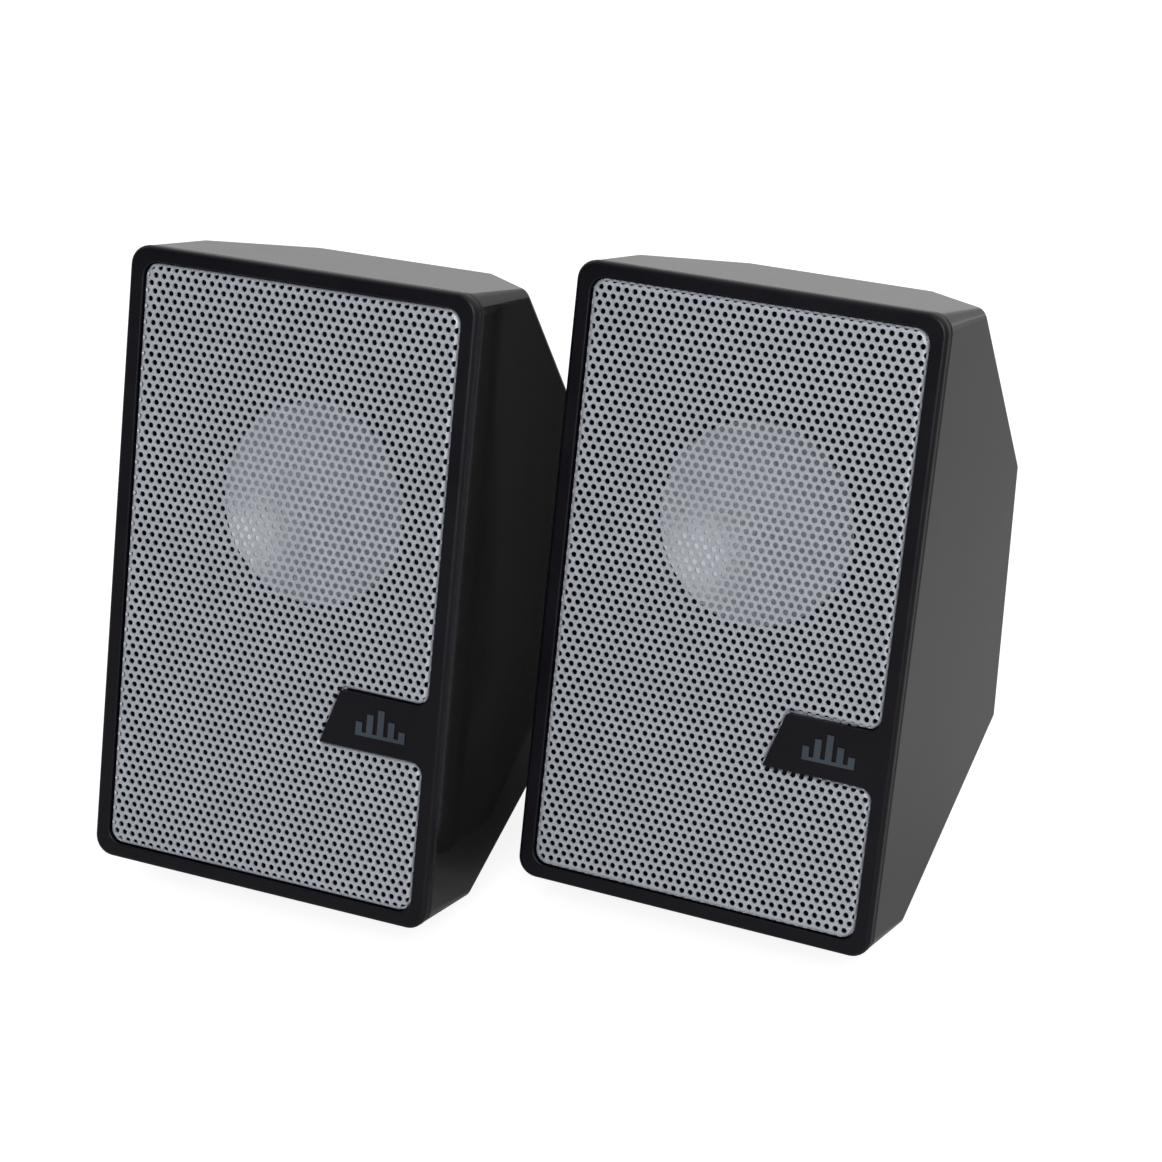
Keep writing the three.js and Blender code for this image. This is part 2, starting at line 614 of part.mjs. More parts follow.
function padForm(grow) {
  const outline = roundedRectangle(PAD.length / 2 + grow, PAD.width / 2 + grow, PAD.radius + grow);
  return upright(outline, PAD.thickness + grow);
}

// ---------------------------------------------------------------- one speaker

function speaker(side) {
  const isRight = side === 'right';
  const cabinet = new THREE.Group();
  cabinet.applyMatrix4(cabinetMatrix());
  cabinet.add(
    piece(`${side}_front_frame`, frontFrame(), 'frame'),
    piece(`${side}_grille`, grille(), 'grille'),
    piece(`${side}_badge`, badge(), 'badge'),
    piece(`${side}_rear_shell`, rearShell(isRight), 'shell'),
    driverParts(side),
    rearGland(`${side}_link_gland`, -GLAND_X),
  );
  if (isRight) cabinet.add(rearGland('right_supply_gland', GLAND_X), amplifierParts());
  housingScrewPlaces().forEach(([x, z], i) => {
    const shape = screw(HOUSING_SCREW.seat + GAP, HOUSING_SCREW.head, HOUSING_SCREW.tip);
    const fastener = piece(`${side}_housing_screw_${i + 1}`, shape, 'zinc');
    fastener.position.set(x, 0, z);
    cabinet.add(fastener);
  });

  const whole = new THREE.Group();
  whole.add(cabinet, piece(`${side}_stand_foot`, standFoot(), 'moulding'));
  ['front', 'rear'].forEach((place, i) => {
    const pad = piece(`${side}_${place}_pad`, padForm(0), 'rubber');
    pad.position.y = frontEdgeY() + padPlaces()[i];
    whole.add(pad);
  });
  return whole;
}

// ---------------------------------------------------------------- the pair

const left = speaker('left');
left.position.set(-SPACING_X / 2, -STAGGER_Y / 2, 0);
left.rotation.z = TOE_IN;

const right = speaker('right');
right.position.set(SPACING_X / 2, STAGGER_Y / 2, 0);
right.rotation.z = -TOE_IN;

const speakers = new THREE.Group();
speakers.add(left, right);
const footprint = new THREE.Box3().setFromObject(speakers, true).getCenter(new THREE.Vector3());
for (const one of [left, right]) {
  one.position.x -= footprint.x;
  one.position.y -= footprint.y;
}

export default speakers;
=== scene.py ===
"""Two small desktop speakers: perforated silver grilles in matt black frames, and glossy faceted shells.

Lengths are millimetres in a cabinet's own frame: x to the right, y into the cabinet from its front face, and
z up that face. place() turns them into metres in the row frame.
"""

import json
import math

import bmesh
import bpy
import numpy as np
from mathutils import Matrix, Vector
from mathutils.geometry import delaunay_2d_cdt, tessellate_polygon


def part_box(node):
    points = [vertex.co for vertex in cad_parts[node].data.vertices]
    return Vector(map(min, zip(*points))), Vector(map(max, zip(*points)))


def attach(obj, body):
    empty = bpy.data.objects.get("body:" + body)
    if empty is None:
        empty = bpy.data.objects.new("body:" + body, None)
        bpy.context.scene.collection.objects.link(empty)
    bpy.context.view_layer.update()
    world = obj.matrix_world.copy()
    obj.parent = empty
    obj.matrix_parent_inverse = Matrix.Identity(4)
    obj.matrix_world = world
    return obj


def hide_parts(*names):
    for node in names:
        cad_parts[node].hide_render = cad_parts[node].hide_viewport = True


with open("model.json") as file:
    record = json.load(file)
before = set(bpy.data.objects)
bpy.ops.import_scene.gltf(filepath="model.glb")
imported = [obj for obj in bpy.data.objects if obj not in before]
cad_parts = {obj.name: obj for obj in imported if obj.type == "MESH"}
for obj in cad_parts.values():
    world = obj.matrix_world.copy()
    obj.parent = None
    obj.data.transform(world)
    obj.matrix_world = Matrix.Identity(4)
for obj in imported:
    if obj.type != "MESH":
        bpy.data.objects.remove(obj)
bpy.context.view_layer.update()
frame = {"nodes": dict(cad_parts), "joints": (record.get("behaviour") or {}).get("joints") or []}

MM = 0.001
SIDES = ("right", "left")

# ---------------------------------------------------------------- driving sizes, as in the CAD

WIDTH, HEIGHT = 84.0, 139.0
CORNER_RADIUS = 4.4
SIDE_DRAFT = math.tan(math.radians(1.2))
TOP_DRAFT = math.tan(math.radians(1.8))
BOTTOM_DRAFT = math.tan(math.radians(4.5))
FACET_SLOPE = 1.2            # how fast a corner facet runs back as it nears the middle
RIDGE_X = 22.0               # where the facets meet the flat middle
# A corner facet: how far back it meets the top or bottom corner, how far back and how high it meets the side,
# and the rounding of the long edge that it ends.
UPPER = {"corner_y": 25.5, "side_y": 69.5, "side_z": 29.2, "radius": 2.2}
LOWER = {"corner_y": 23.0, "side_y": 78.4, "side_z": -31.6, "radius": 1.2}
WALL = 1.8
EDGE_RADIUS = 0.7
GAP = 0.3                    # between neighbouring pieces

RIM_SIDE, RIM_END = 3.6, 3.3
SKIRT_DEPTH, SHELL_FRONT = 2.4, 3.0
GROOVE_INSET, GROOVE_BACK = 0.6, 2.8
LIP_INSET, LIP_RADIUS = 3.0, 4.5
LEDGE_INSET, LEDGE_FRONT = 0.9, 1.9
BAFFLE_FRONT, BAFFLE_BACK = 9.0, 11.5
OPENING_RADIUS = 3.4
TAB_TOP, TAB_BOTTOM = -19.6, -32.1
TAB_LEFT_TOP, TAB_LEFT_BOTTOM = 17.3, 13.1
TAB_FILLET, TAB_TIP_TOP, TAB_TIP_BOTTOM = 3.0, 0.8, 0.15

GRILLE_FRONT, GRILLE_DEPTH = 0.15, 1.6
SHEET = 0.45
BEND = 1.1                   # radius of the grille's bent edge
DISH = (0.5, 0.42)           # how deep the grille is pressed in, as a broad part and a flatter part
PITCH, HOLE_RADIUS, HOLE_SIDES = 2.0, 0.65, 12
PATTERN_SHIFT = {"right": (0.0, 0.0), "left": (0.65, -0.75)}     # each sheet is cut from another place
COLUMNS, ROWS = 38, 77

DRIVER_Z = 16.5
BAFFLE_HOLE = 24.5
FLANGE_HALF, FLANGE_FRONT, FLANGE_BACK, DRIVER_SCREW = 31.0, 11.8, 13.0, 26.8
PLATE_FRONT, PLATE_BACK, MAGNET_BACK, YOKE_BACK = 31.6, 34.6, 43.0, 46.2
MAGNET_RADIUS, COIL_RADIUS = 18.0, 7.3
ROUND = 96                   # facets round a large turned piece

SCREW_X, SCREW_Z = 31.0, 57.0
SCREW_SEAT, WELL_RADIUS, TUBE_RADIUS = 22.0, 3.6, 5.0
BOSS_BACK, BOSS_RADIUS = 18.0, 3.8
SCREW_RADIUS, HEAD_RADIUS = 1.3, 2.7
CASE_SCREW_HEAD, CASE_SCREW_TIP = 2.0, 12.5
FLANGE_SCREW_HEAD, FLANGE_SCREW_TIP = 1.6, 9.4
WHEEL_X, WHEEL_Y, WHEEL_Z = -25.0, 80.7, -5.0
WHEEL_RADIUS, WHEEL_THICKNESS = 11.0, 4.2
SLOT_ROUND, SLOT_BESIDE = 0.8, 0.6    # room round the wheel's rim and beside its faces
GLAND_Z, GLAND_X = -25.0, 9.0
GLAND_NECK = 3.9
BOARD_TOP = -12.0
CAPACITOR_X, CAPACITOR_Y = -9.0, 63.0


def linked(obj):
    bpy.context.scene.collection.objects.link(obj)
    return obj


# ---------------------------------------------------------------- the cabinets' frames

def cabinet_matrix(side):
    """From a cabinet's millimetres to metres in the row frame, by its cone's axis and its grille's place."""
    joint = next(j for j in frame["joints"] if j["name"] == f"{side}_cone_travel")
    depth = -Vector(joint["axis"]).normalized()
    across = depth.cross(Vector((0, 0, 1))).normalized()
    up = across.cross(depth)
    low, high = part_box(f"{side}_grille")
    centre = (low + high) / 2 - depth * (GRILLE_FRONT + GRILLE_DEPTH / 2) * MM
    turn = Matrix((across, depth, up)).transposed().to_4x4()
    return Matrix.Translation(centre) @ turn @ Matrix.Scale(MM, 4)


CABINET = {side: cabinet_matrix(side) for side in SIDES}

# ---------------------------------------------------------------- camera

LENS, SENSOR = 91.54, 36.0
CAMERA_FROM_MIDDLE = Vector((0.2616, -0.5123, 0.2703))
CAMERA_DOWN, CAMERA_TURN = math.radians(24.912), math.radians(25.275)
MIDDLE_Z = 0.75

middle = sum((CABINET[s] @ Vector((0, 0, MIDDLE_Z)) for s in SIDES), Vector()) / len(SIDES)
camera_data = bpy.data.cameras.new("camera")
camera_data.lens = LENS
camera_data.sensor_width = SENSOR
camera_data.clip_start, camera_data.clip_end = 0.01, 50
camera = linked(bpy.data.objects.new("camera", camera_data))
camera.location = middle + CAMERA_FROM_MIDDLE
camera.rotation_euler = (math.pi / 2 - CAMERA_DOWN, 0, CAMERA_TURN)
bpy.context.scene.camera = camera


# ---------------------------------------------------------------- materials

def socket(tree, node, name, value):
    """Sets an input to a number, a colour or another node's output."""
    if isinstance(value, bpy.types.NodeSocket):
        tree.links.new(value, node.inputs[name])
    else:
        node.inputs[name].default_value = value
    return node


def add_node(tree, kind, settings=None, **inputs):
    node = tree.nodes.new(kind)
    for name, value in (settings or {}).items():
        setattr(node, name, value)
    for name, value in inputs.items():
        socket(tree, node, name.replace("_", " "), value)
    return node


def computed(tree, operation, a, b):
    """The sum, the product or the like of two nodes' outputs."""
    node = add_node(tree, "ShaderNodeMath", {"operation": operation})
    tree.links.new(a, node.inputs[0])
    tree.links.new(b, node.inputs[1])
    return node.outputs[0]


def own_place(tree):
    """The object's own coordinates, which are metres in the row frame."""
    return add_node(tree, "ShaderNodeTexCoord").outputs["Object"]


def noise(tree, scale, detail=2.0, roughness=0.5, stretch=(1, 1, 1)):
    at = own_place(tree)
    if stretch != (1, 1, 1):
        at = add_node(tree, "ShaderNodeMapping", Vector=at, Scale=stretch).outputs["Vector"]
    node = add_node(tree, "ShaderNodeTexNoise", Vector=at, Scale=scale, Detail=detail, Roughness=roughness)
    return node.outputs["Fac"]


def mapped(tree, value, low, high, start=0.3, end=0.7):
    """The value's range from start to end, stretched to low to high. Noise mostly lies from 0.3 to 0.7."""
    node = add_node(tree, "ShaderNodeMapRange", Value=value)
    for name, number in (("From Min", start), ("From Max", end), ("To Min", low), ("To Max", high)):
        node.inputs[name].default_value = number
    return node.outputs["Result"]


def blended(tree, share, a, b):
    """From colour a to colour b as the share rises from 0 to 1."""
    factor, first_colour, second_colour, result = 0, 6, 7, 2
    node = tree.nodes.new("ShaderNodeMix")
    node.data_type = "RGBA"
    tree.links.new(share, node.inputs[factor])
    for index, colour in ((first_colour, a), (second_colour, b)):
        if isinstance(colour, bpy.types.NodeSocket):
            tree.links.new(colour, node.inputs[index])
        else:
            node.inputs[index].default_value = (*colour, 1)
    return node.outputs[result]


def bumps(tree, height, distance, strength=1.0, before=None):
    node = add_node(tree, "ShaderNodeBump", Height=height, Distance=distance, Strength=strength)
    if before is not None:
        tree.links.new(before, node.inputs["Normal"])
    return node.outputs["Normal"]


def new_material(name, metallic=0.0, specular=0.5):
    material = bpy.data.materials.new(name)
    material.use_nodes = True
    shader = material.node_tree.nodes["Principled BSDF"]
    shader.inputs["Metallic"].default_value = metallic
    shader.inputs["Specular IOR Level"].default_value = specular
    return material, material.node_tree, shader


def finish_material(tree, shader, colour, roughness, normal=None):
    tree.links.new(colour, shader.inputs["Base Color"])
    tree.links.new(roughness, shader.inputs["Roughness"])
    if normal is not None:
        tree.links.new(normal, shader.inputs["Normal"])


def moulded_plastic(name, dark, light, rough, grain, grain_height, specular=0.5):
    """Spark-textured plastic: a fine even grain, faint flow marks and patches that are a little shinier."""
    material, tree, shader = new_material(name, specular=specular)
    colour = blended(tree, mapped(tree, noise(tree, 90, 3), 0, 1), dark, light)
    roughness = mapped(tree, noise(tree, 45, 4, 0.6), rough - 0.06, rough + 0.06)
    fine = bumps(tree, noise(tree, grain, 2, 0.6), grain_height)
    finish_material(tree, shader, colour, roughness, fine)
    return material


def gloss_plastic(name):
    """Polished black plastic: faint waviness from the mould, dust specks and wiping marks."""
    material, tree, shader = new_material(name, specular=0.42)
    specks = mapped(tree, noise(tree, 2600, 1), 0, 1, start=0.735, end=0.78)
    flow = mapped(tree, noise(tree, 30, 3), 0, 1)
    tint = blended(tree, flow, (0.0120, 0.0112, 0.0116), (0.0155, 0.0146, 0.0150))
    colour = blended(tree, specks, tint, (0.035, 0.034, 0.033))
    wiped = noise(tree, 60, 5, 0.65, stretch=(1, 0.25, 1))
    roughness = mapped(tree, wiped, 0.07, 0.13)
    wavy = bumps(tree, noise(tree, 55, 1), 0.00012, 0.5)
    normal = bumps(tree, specks, 0.00002, 0.3, before=wavy)
    finish_material(tree, shader, colour, roughness, normal)
    return material


def silver_paint(name):
    """Satin silver paint over pressed steel: bright flakes, thin and thick patches, a light orange peel."""
    material, tree, shader = new_material(name, metallic=0.35, specular=0.5)
    flakes = mapped(tree, noise(tree, 5200, 1), 0, 1, start=0.42, end=0.62)
    coat = blended(tree, flakes, (0.51, 0.54, 0.61), (0.70, 0.73, 0.80))
    patches = mapped(tree, noise(tree, 120, 4), 0, 0.25)
    colour = blended(tree, patches, coat, (0.38, 0.40, 0.45))
    roughness = mapped(tree, noise(tree, 700, 3), 0.42, 0.56)
    normal = bumps(tree, noise(tree, 1900, 2), 0.00003, 0.5)
    finish_material(tree, shader, colour, roughness, normal)
    return material


def metal(name, dark, light, rough, grain=1500, stretch=(1, 1, 1), height=0.00001, metallic=0.95):
    """Bare or plated metal with a fine grain, which runs across where it is stretched."""
    material, tree, shader = new_material(name, metallic=metallic)
    lines = noise(tree, grain, 3, 0.6, stretch)
    colour = blended(tree, mapped(tree, lines, 0, 1), dark, light)
    roughness = mapped(tree, noise(tree, 200, 3), rough - 0.05, rough + 0.07)
    finish_material(tree, shader, colour, roughness, bumps(tree, lines, height, 0.4))
    return material


def rubber(name, dark=(0.012, 0.012, 0.012), light=(0.028, 0.027, 0.027)):
    material, tree, shader = new_material(name, specular=0.3)
    colour = blended(tree, mapped(tree, noise(tree, 400, 4), 0, 1), dark, light)
    roughness = mapped(tree, noise(tree, 150, 3), 0.6, 0.8)
    finish_material(tree, shader, colour, roughness, bumps(tree, noise(tree, 3000, 2), 0.00004, 0.5))
    return material


def woven(name, dark, light, threads=2200):
    """Resin-treated cloth or a laid board: two crossing sets of threads."""
    material, tree, shader = new_material(name, specular=0.25)
    sets = [
        add_node(
            tree, "ShaderNodeTexWave", {"bands_direction": direction}, Vector=own_place(tree),
            Scale=threads / math.tau, Distortion=0.6,
        ).outputs["Fac"]
        for direction in ("X", "Z")
    ]
    weave = computed(tree, "MULTIPLY", *sets)
    colour = blended(tree, weave, dark, light)
    roughness = mapped(tree, noise(tree, 300, 3), 0.7, 0.88)
    finish_material(tree, shader, colour, roughness, bumps(tree, weave, 0.0001, 0.5))
    return material


FRAME_PLASTIC = moulded_plastic(
    "frame_plastic", (0.0030, 0.0026, 0.0056), (0.0046, 0.0041, 0.0078), 0.36, 3400, 0.00003, specular=0.32,
)
FOOT_PLASTIC = moulded_plastic("foot_plastic", (0.012, 0.012, 0.012), (0.02, 0.02, 0.02), 0.6, 1800, 0.00006)
SHELL_GLOSS = gloss_plastic("shell_gloss")
GRILLE_PAINT = silver_paint("grille_paint")
BADGE_PRINT = moulded_plastic(
    "badge_print", (0.040, 0.050, 0.070), (0.052, 0.066, 0.088), 0.45, 4000, 0.00001,
)
CONE_METAL = metal("cone_metal", (0.82, 0.83, 0.86), (0.90, 0.91, 0.94), 0.34, grain=900, metallic=0.5)
ZINC = metal("zinc_plate", (0.42, 0.43, 0.45), (0.58, 0.59, 0.60), 0.34, grain=2500)
BLACK_ZINC = metal("black_zinc", (0.05, 0.05, 0.055), (0.10, 0.10, 0.11), 0.38, grain=2500)
BASKET_METAL = metal("basket_metal", (0.10, 0.10, 0.105), (0.16, 0.16, 0.17), 0.45, grain=1200)
ALUMINIUM = metal(
    "extruded_aluminium", (0.46, 0.47, 0.48), (0.62, 0.63, 0.64), 0.4, grain=900, stretch=(6, 0.3, 6),
)
COPPER = metal(
    "coil_copper", (0.42, 0.16, 0.06), (0.62, 0.28, 0.11), 0.33, grain=2400, stretch=(0.3, 3, 0.3),
)
FERRITE = moulded_plastic("ferrite", (0.03, 0.03, 0.032), (0.06, 0.06, 0.062), 0.75, 2600, 0.00006)
SOFT_RUBBER = rubber("soft_rubber")
SPIDER_CLOTH = woven("spider_cloth", (0.30, 0.17, 0.05), (0.52, 0.34, 0.12))
LAMINATE = woven("terminal_laminate", (0.20, 0.10, 0.04), (0.30, 0.17, 0.07), threads=1400)
BOARD_GREEN = woven("board_green", (0.008, 0.06, 0.02), (0.014, 0.09, 0.032), threads=1800)
CHIP_EPOXY = moulded_plastic("chip_epoxy", (0.012, 0.012, 0.012), (0.02, 0.02, 0.02), 0.55, 5200, 0.00002)
SLEEVE = moulded_plastic("capacitor_sleeve", (0.008, 0.01, 0.03), (0.014, 0.017, 0.05), 0.3, 900, 0.00002)


# ---------------------------------------------------------------- mesh building

def rounded(corners, inset=0.0, steps=6):
    """Points along a closed outline with rounded corners, moved inwards by inset. A corner is (x, z, radius),
    and they run anticlockwise. A hollow corner's arc grows with the inset, and every other arc shrinks."""
    sharpest = 0.02
    points = [Vector(c[:2]) for c in corners]
    count = len(points)
    ahead = [(points[(i + 1) % count] - points[i]).normalized() for i in range(count)]
    inward = [Vector((-d.y, d.x)) for d in ahead]
    outline = []
    for i in range(count):
        before, after = ahead[i - 1], ahead[i]
        turn = before.angle_signed(after) * -1
        half = math.tan(abs(turn) / 2)
        hollow = turn < 0
        radius = max(corners[i][2] + (inset if hollow else -inset), sharpest)
        corner = points[i] + inward[i - 1] * inset
        corner += before * inset * (half if hollow else -half)
        start = corner - before * radius * half
        centre = start + inward[i - 1] * (-radius if hollow else radius)
        for k in range(steps + 1):
            spin = Matrix.Rotation(turn * k / steps, 2)
            outline.append(centre + spin @ (start - centre))
    return outline


def rectangle(half_width, half_height, radius):
    corners = [(1, -1), (1, 1), (-1, 1), (-1, -1)]
    return [(half_width * x, half_height * z, radius) for x, z in corners]


def circle(radius, count, x=0.0, z=0.0, turn=0.0):
    angles = [turn + math.tau * i / count for i in range(count)]
    return [Vector((x + radius * math.cos(a), z + radius * math.sin(a))) for a in angles]


def square_places(x, z):
    """Four places round the middle, in the order in which the screws are numbered."""
    return [(a, b) for a in (-x, x) for b in (z, -z)]


def loop(bm, outline, y):
    return [bm.verts.new((p[0], y, p[1])) for p in outline]


def bridge(bm, a, b):
    for i in range(len(a)):
        j = (i + 1) % len(a)
        bm.faces.new((a[i], a[j], b[j], b[i]))


def fill(bm, *loops):
    """Closes the flat area inside the first loop and outside the others."""
    verts = [v for one in loops for v in one]
    flat = [[Vector((v.co.x, v.co.z, 0)) for v in one] for one in loops]
    for a, b, c in tessellate_polygon(flat):
        bm.faces.new((verts[a], verts[b], verts[c]))


def turned(bm, outline, segments=ROUND, x=0.0, z=0.0):
    """An outline of (radius, y) turned round the y axis. It starts and ends on the axis, or on one point."""
    closed = outline[0] == outline[-1]
    rings = []
    for radius, y in outline[:-1] if closed else outline:
        if radius < 1e-6:
            rings.append([bm.verts.new((x, y, z))])
        else:
            rings.append(loop(bm, circle(radius, segments, x, z), y))
    pairs = list(zip(rings, rings[1:] + rings[:1] if closed else rings[1:]))
    for a, b in pairs:
        if len(a) == len(b):
            bridge(bm, a, b)
            continue
        tip, ring = (a[0], b) if len(a) == 1 else (b[0], a)
        for i in range(segments):
            bm.faces.new((tip, ring[i], ring[(i + 1) % segments]))


def arc(centre_r, centre_y, radius, start, end, steps):
    """Points (radius, y) along an arc of an outline, its angles in degrees from +radius towards +y."""
    angles = [math.radians(start + (end - start) * k / steps) for k in range(steps + 1)]
    return [(centre_r + radius * math.cos(a), centre_y + radius * math.sin(a)) for a in angles]


def rod(bm, radius, front, back, segments=40, x=0.0, z=0.0):
    turned(bm, [(0, front), (radius, front), (radius, back), (0, back)], segments, x, z)


def add_to(bm, part):
    """Moves one bmesh's faces into another."""
    mesh = bpy.data.meshes.new("part")
    part.to_mesh(mesh)
    part.free()
    bm.from_mesh(mesh)
    bpy.data.meshes.remove(mesh)


def to_object(bm, name):
    """The bmesh as an object in cabinet millimetres, with its faces pointing out."""
    bmesh.ops.recalc_face_normals(bm, faces=bm.faces)
    mesh = bpy.data.meshes.new(name)
    bm.to_mesh(mesh)
    bm.free()
    return linked(bpy.data.objects.new(name, mesh))


def settle(obj):
    """Applies the object's modifiers to its mesh."""
    bpy.context.view_layer.update()
    evaluated = obj.evaluated_get(bpy.context.evaluated_depsgraph_get())
    mesh = bpy.data.meshes.new_from_object(evaluated)
    obj.modifiers.clear()
    old = obj.data
    obj.data = mesh
    bpy.data.meshes.remove(old)
    return obj


def cut_away(obj, other):
    """Cuts other out of obj, and deletes other."""
    step = obj.modifiers.new("cut", "BOOLEAN")
    step.operation = "DIFFERENCE"
    step.solver = "EXACT"
    step.object = other
    settle(obj)
    bpy.data.objects.remove(other)
    return obj


def shade(obj, angle=32, weighted=False):
    """Smooth faces, sharp only across edges steeper than angle. Weighted, the large faces stay flat."""
    obj.data.polygons.foreach_set("use_smooth", [True] * len(obj.data.polygons))
    obj.data.set_sharp_from_angle(angle=math.radians(angle))
    if weighted:
        normals = obj.modifiers.new("even_normals", "WEIGHTED_NORMAL")
        normals.keep_sharp = True
        normals.weight = 100
        settle(obj)
    return obj


def place(obj, matrix, body, material, slot, *nodes):
    """Moves a piece from its own millimetres into the row frame, gives it its body and finish, and hides the
    CAD nodes that it stands for.
    """
    obj.data.transform(matrix)
    obj.data.materials.clear()
    obj.data.materials.append(material)
    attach(obj, body)
    if nodes:
        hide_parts(*nodes)
    return obj


# ---------------------------------------------------------------- outlines

def opening():
    """The frame's opening, with the tab reaching in from the right."""
    a, b = WIDTH / 2 - RIM_SIDE, HEIGHT / 2 - RIM_END
    return [
        (a, -b, OPENING_RADIUS),
        (a, TAB_BOTTOM, TAB_FILLET),
        (TAB_LEFT_BOTTOM, TAB_BOTTOM, TAB_TIP_BOTTOM),
        (TAB_LEFT_TOP, TAB_TOP, TAB_TIP_TOP),
        (a, TAB_TOP, TAB_FILLET),
        (a, b, OPENING_RADIUS),
        (-a, b, OPENING_RADIUS),
        (-a, -b, OPENING_RADIUS),
    ]


def inside(points, outline):
    """Which points lie inside a closed outline, as numpy arrays."""
    x, z = points[:, 0], points[:, 1]
    found = np.zeros(len(points), bool)
    for a, b in zip(outline, np.roll(outline, -1, axis=0)):
        if a[1] == b[1]:
            continue
        crosses = (a[1] > z) != (b[1] > z)
        found ^= crosses & (x < (b[0] - a[0]) * (z - a[1]) / (b[1] - a[1]) + a[0])
    return found


def distance_to(points, outline):
    """Each point's distance to a closed outline."""
    best = np.full(len(points), np.inf)
    for a, b in zip(outline, np.roll(outline, -1, axis=0)):
        along = b - a
        share = np.clip((points - a) @ along / (along @ along), 0, 1)
        gap = points - a - share[:, None] * along
        best = np.minimum(best, np.hypot(gap[:, 0], gap[:, 1]))
    return best


# ---------------------------------------------------------------- front frame

def front_frame(side):
    """Rim, tab, side skirt, lip and baffle as one moulding."""
    outer_round, inner_round, skirt_round, skirt_middle, steps = 1.0, 0.3, 0.25, 0.07, 5
    outside = rectangle(WIDTH / 2, HEIGHT / 2, CORNER_RADIUS)
    lip = rectangle(WIDTH / 2 - LIP_INSET, HEIGHT / 2 - LIP_INSET, LIP_RADIUS)
    bm = bmesh.new()
    angles = [math.pi / 2 * k / steps for k in range(steps + 1)]
    loops = [loop(bm, rounded(lip, steps=8), y) for y in (BAFFLE_BACK, GROOVE_BACK)]
    back_edge = [(GROOVE_INSET, GROOVE_BACK), (GROOVE_INSET, SKIRT_DEPTH), (skirt_round, SKIRT_DEPTH),
                 (skirt_middle, SKIRT_DEPTH - skirt_middle), (0, SKIRT_DEPTH - skirt_round)]
    front_edge = [(outer_round * (1 - math.cos(a)), outer_round * (1 - math.sin(a))) for a in angles]
    loops += [loop(bm, rounded(outside, inset, 8), y) for inset, y in back_edge + front_edge]
    for a, b in zip(loops, loops[1:]):
        bridge(bm, a, b)
    inner = [(inner_round * math.sin(a) - inner_round, inner_round * (1 - math.cos(a))) for a in angles]
    ledge = [(0, LEDGE_FRONT), (LEDGE_INSET, LEDGE_FRONT), (LEDGE_INSET, BAFFLE_FRONT)]
    walls = [loop(bm, rounded(opening(), inset, 6), y) for inset, y in inner + ledge]
    fill(bm, loops[-1], walls[0])
    for a, b in zip(walls, walls[1:]):
        bridge(bm, a, b)
    hole = [loop(bm, circle(BAFFLE_HOLE, ROUND, z=DRIVER_Z), y) for y in (BAFFLE_FRONT, BAFFLE_BACK)]
    fill(bm, walls[-1], hole[0])
    bridge(bm, *hole)
    fill(bm, loops[0], hole[1])
    bore = SCREW_RADIUS + GAP
    boss = [(bore, BAFFLE_BACK), (BOSS_RADIUS, BAFFLE_BACK), (BOSS_RADIUS, BOSS_BACK), (bore, BOSS_BACK)]
    for x, z in square_places(SCREW_X, SCREW_Z):
        turned(bm, boss + boss[:1], 32, x, z)
    obj = shade(to_object(bm, f"{side}_frame_moulding"), weighted=True)
    return place(obj, CABINET[side], f"{side}_speaker", FRAME_PLASTIC, "front_frame", f"{side}_front_frame")


# ---------------------------------------------------------------- grille

def hole_centres():
    """Staggered rows of holes, counted out from the middle, a little past the bent edge."""
    centres = []
    for row in range(-(ROWS // 2) - 1, ROWS // 2 + 2):
        shift = PITCH / 2 if row % 2 else 0
        for column in range(-COLUMNS // 2 - 1, COLUMNS // 2 + 2):
            centres.append((column * PITCH + PITCH / 2 + shift, row * PITCH * math.sqrt(3) / 2))
    return np.array(centres)


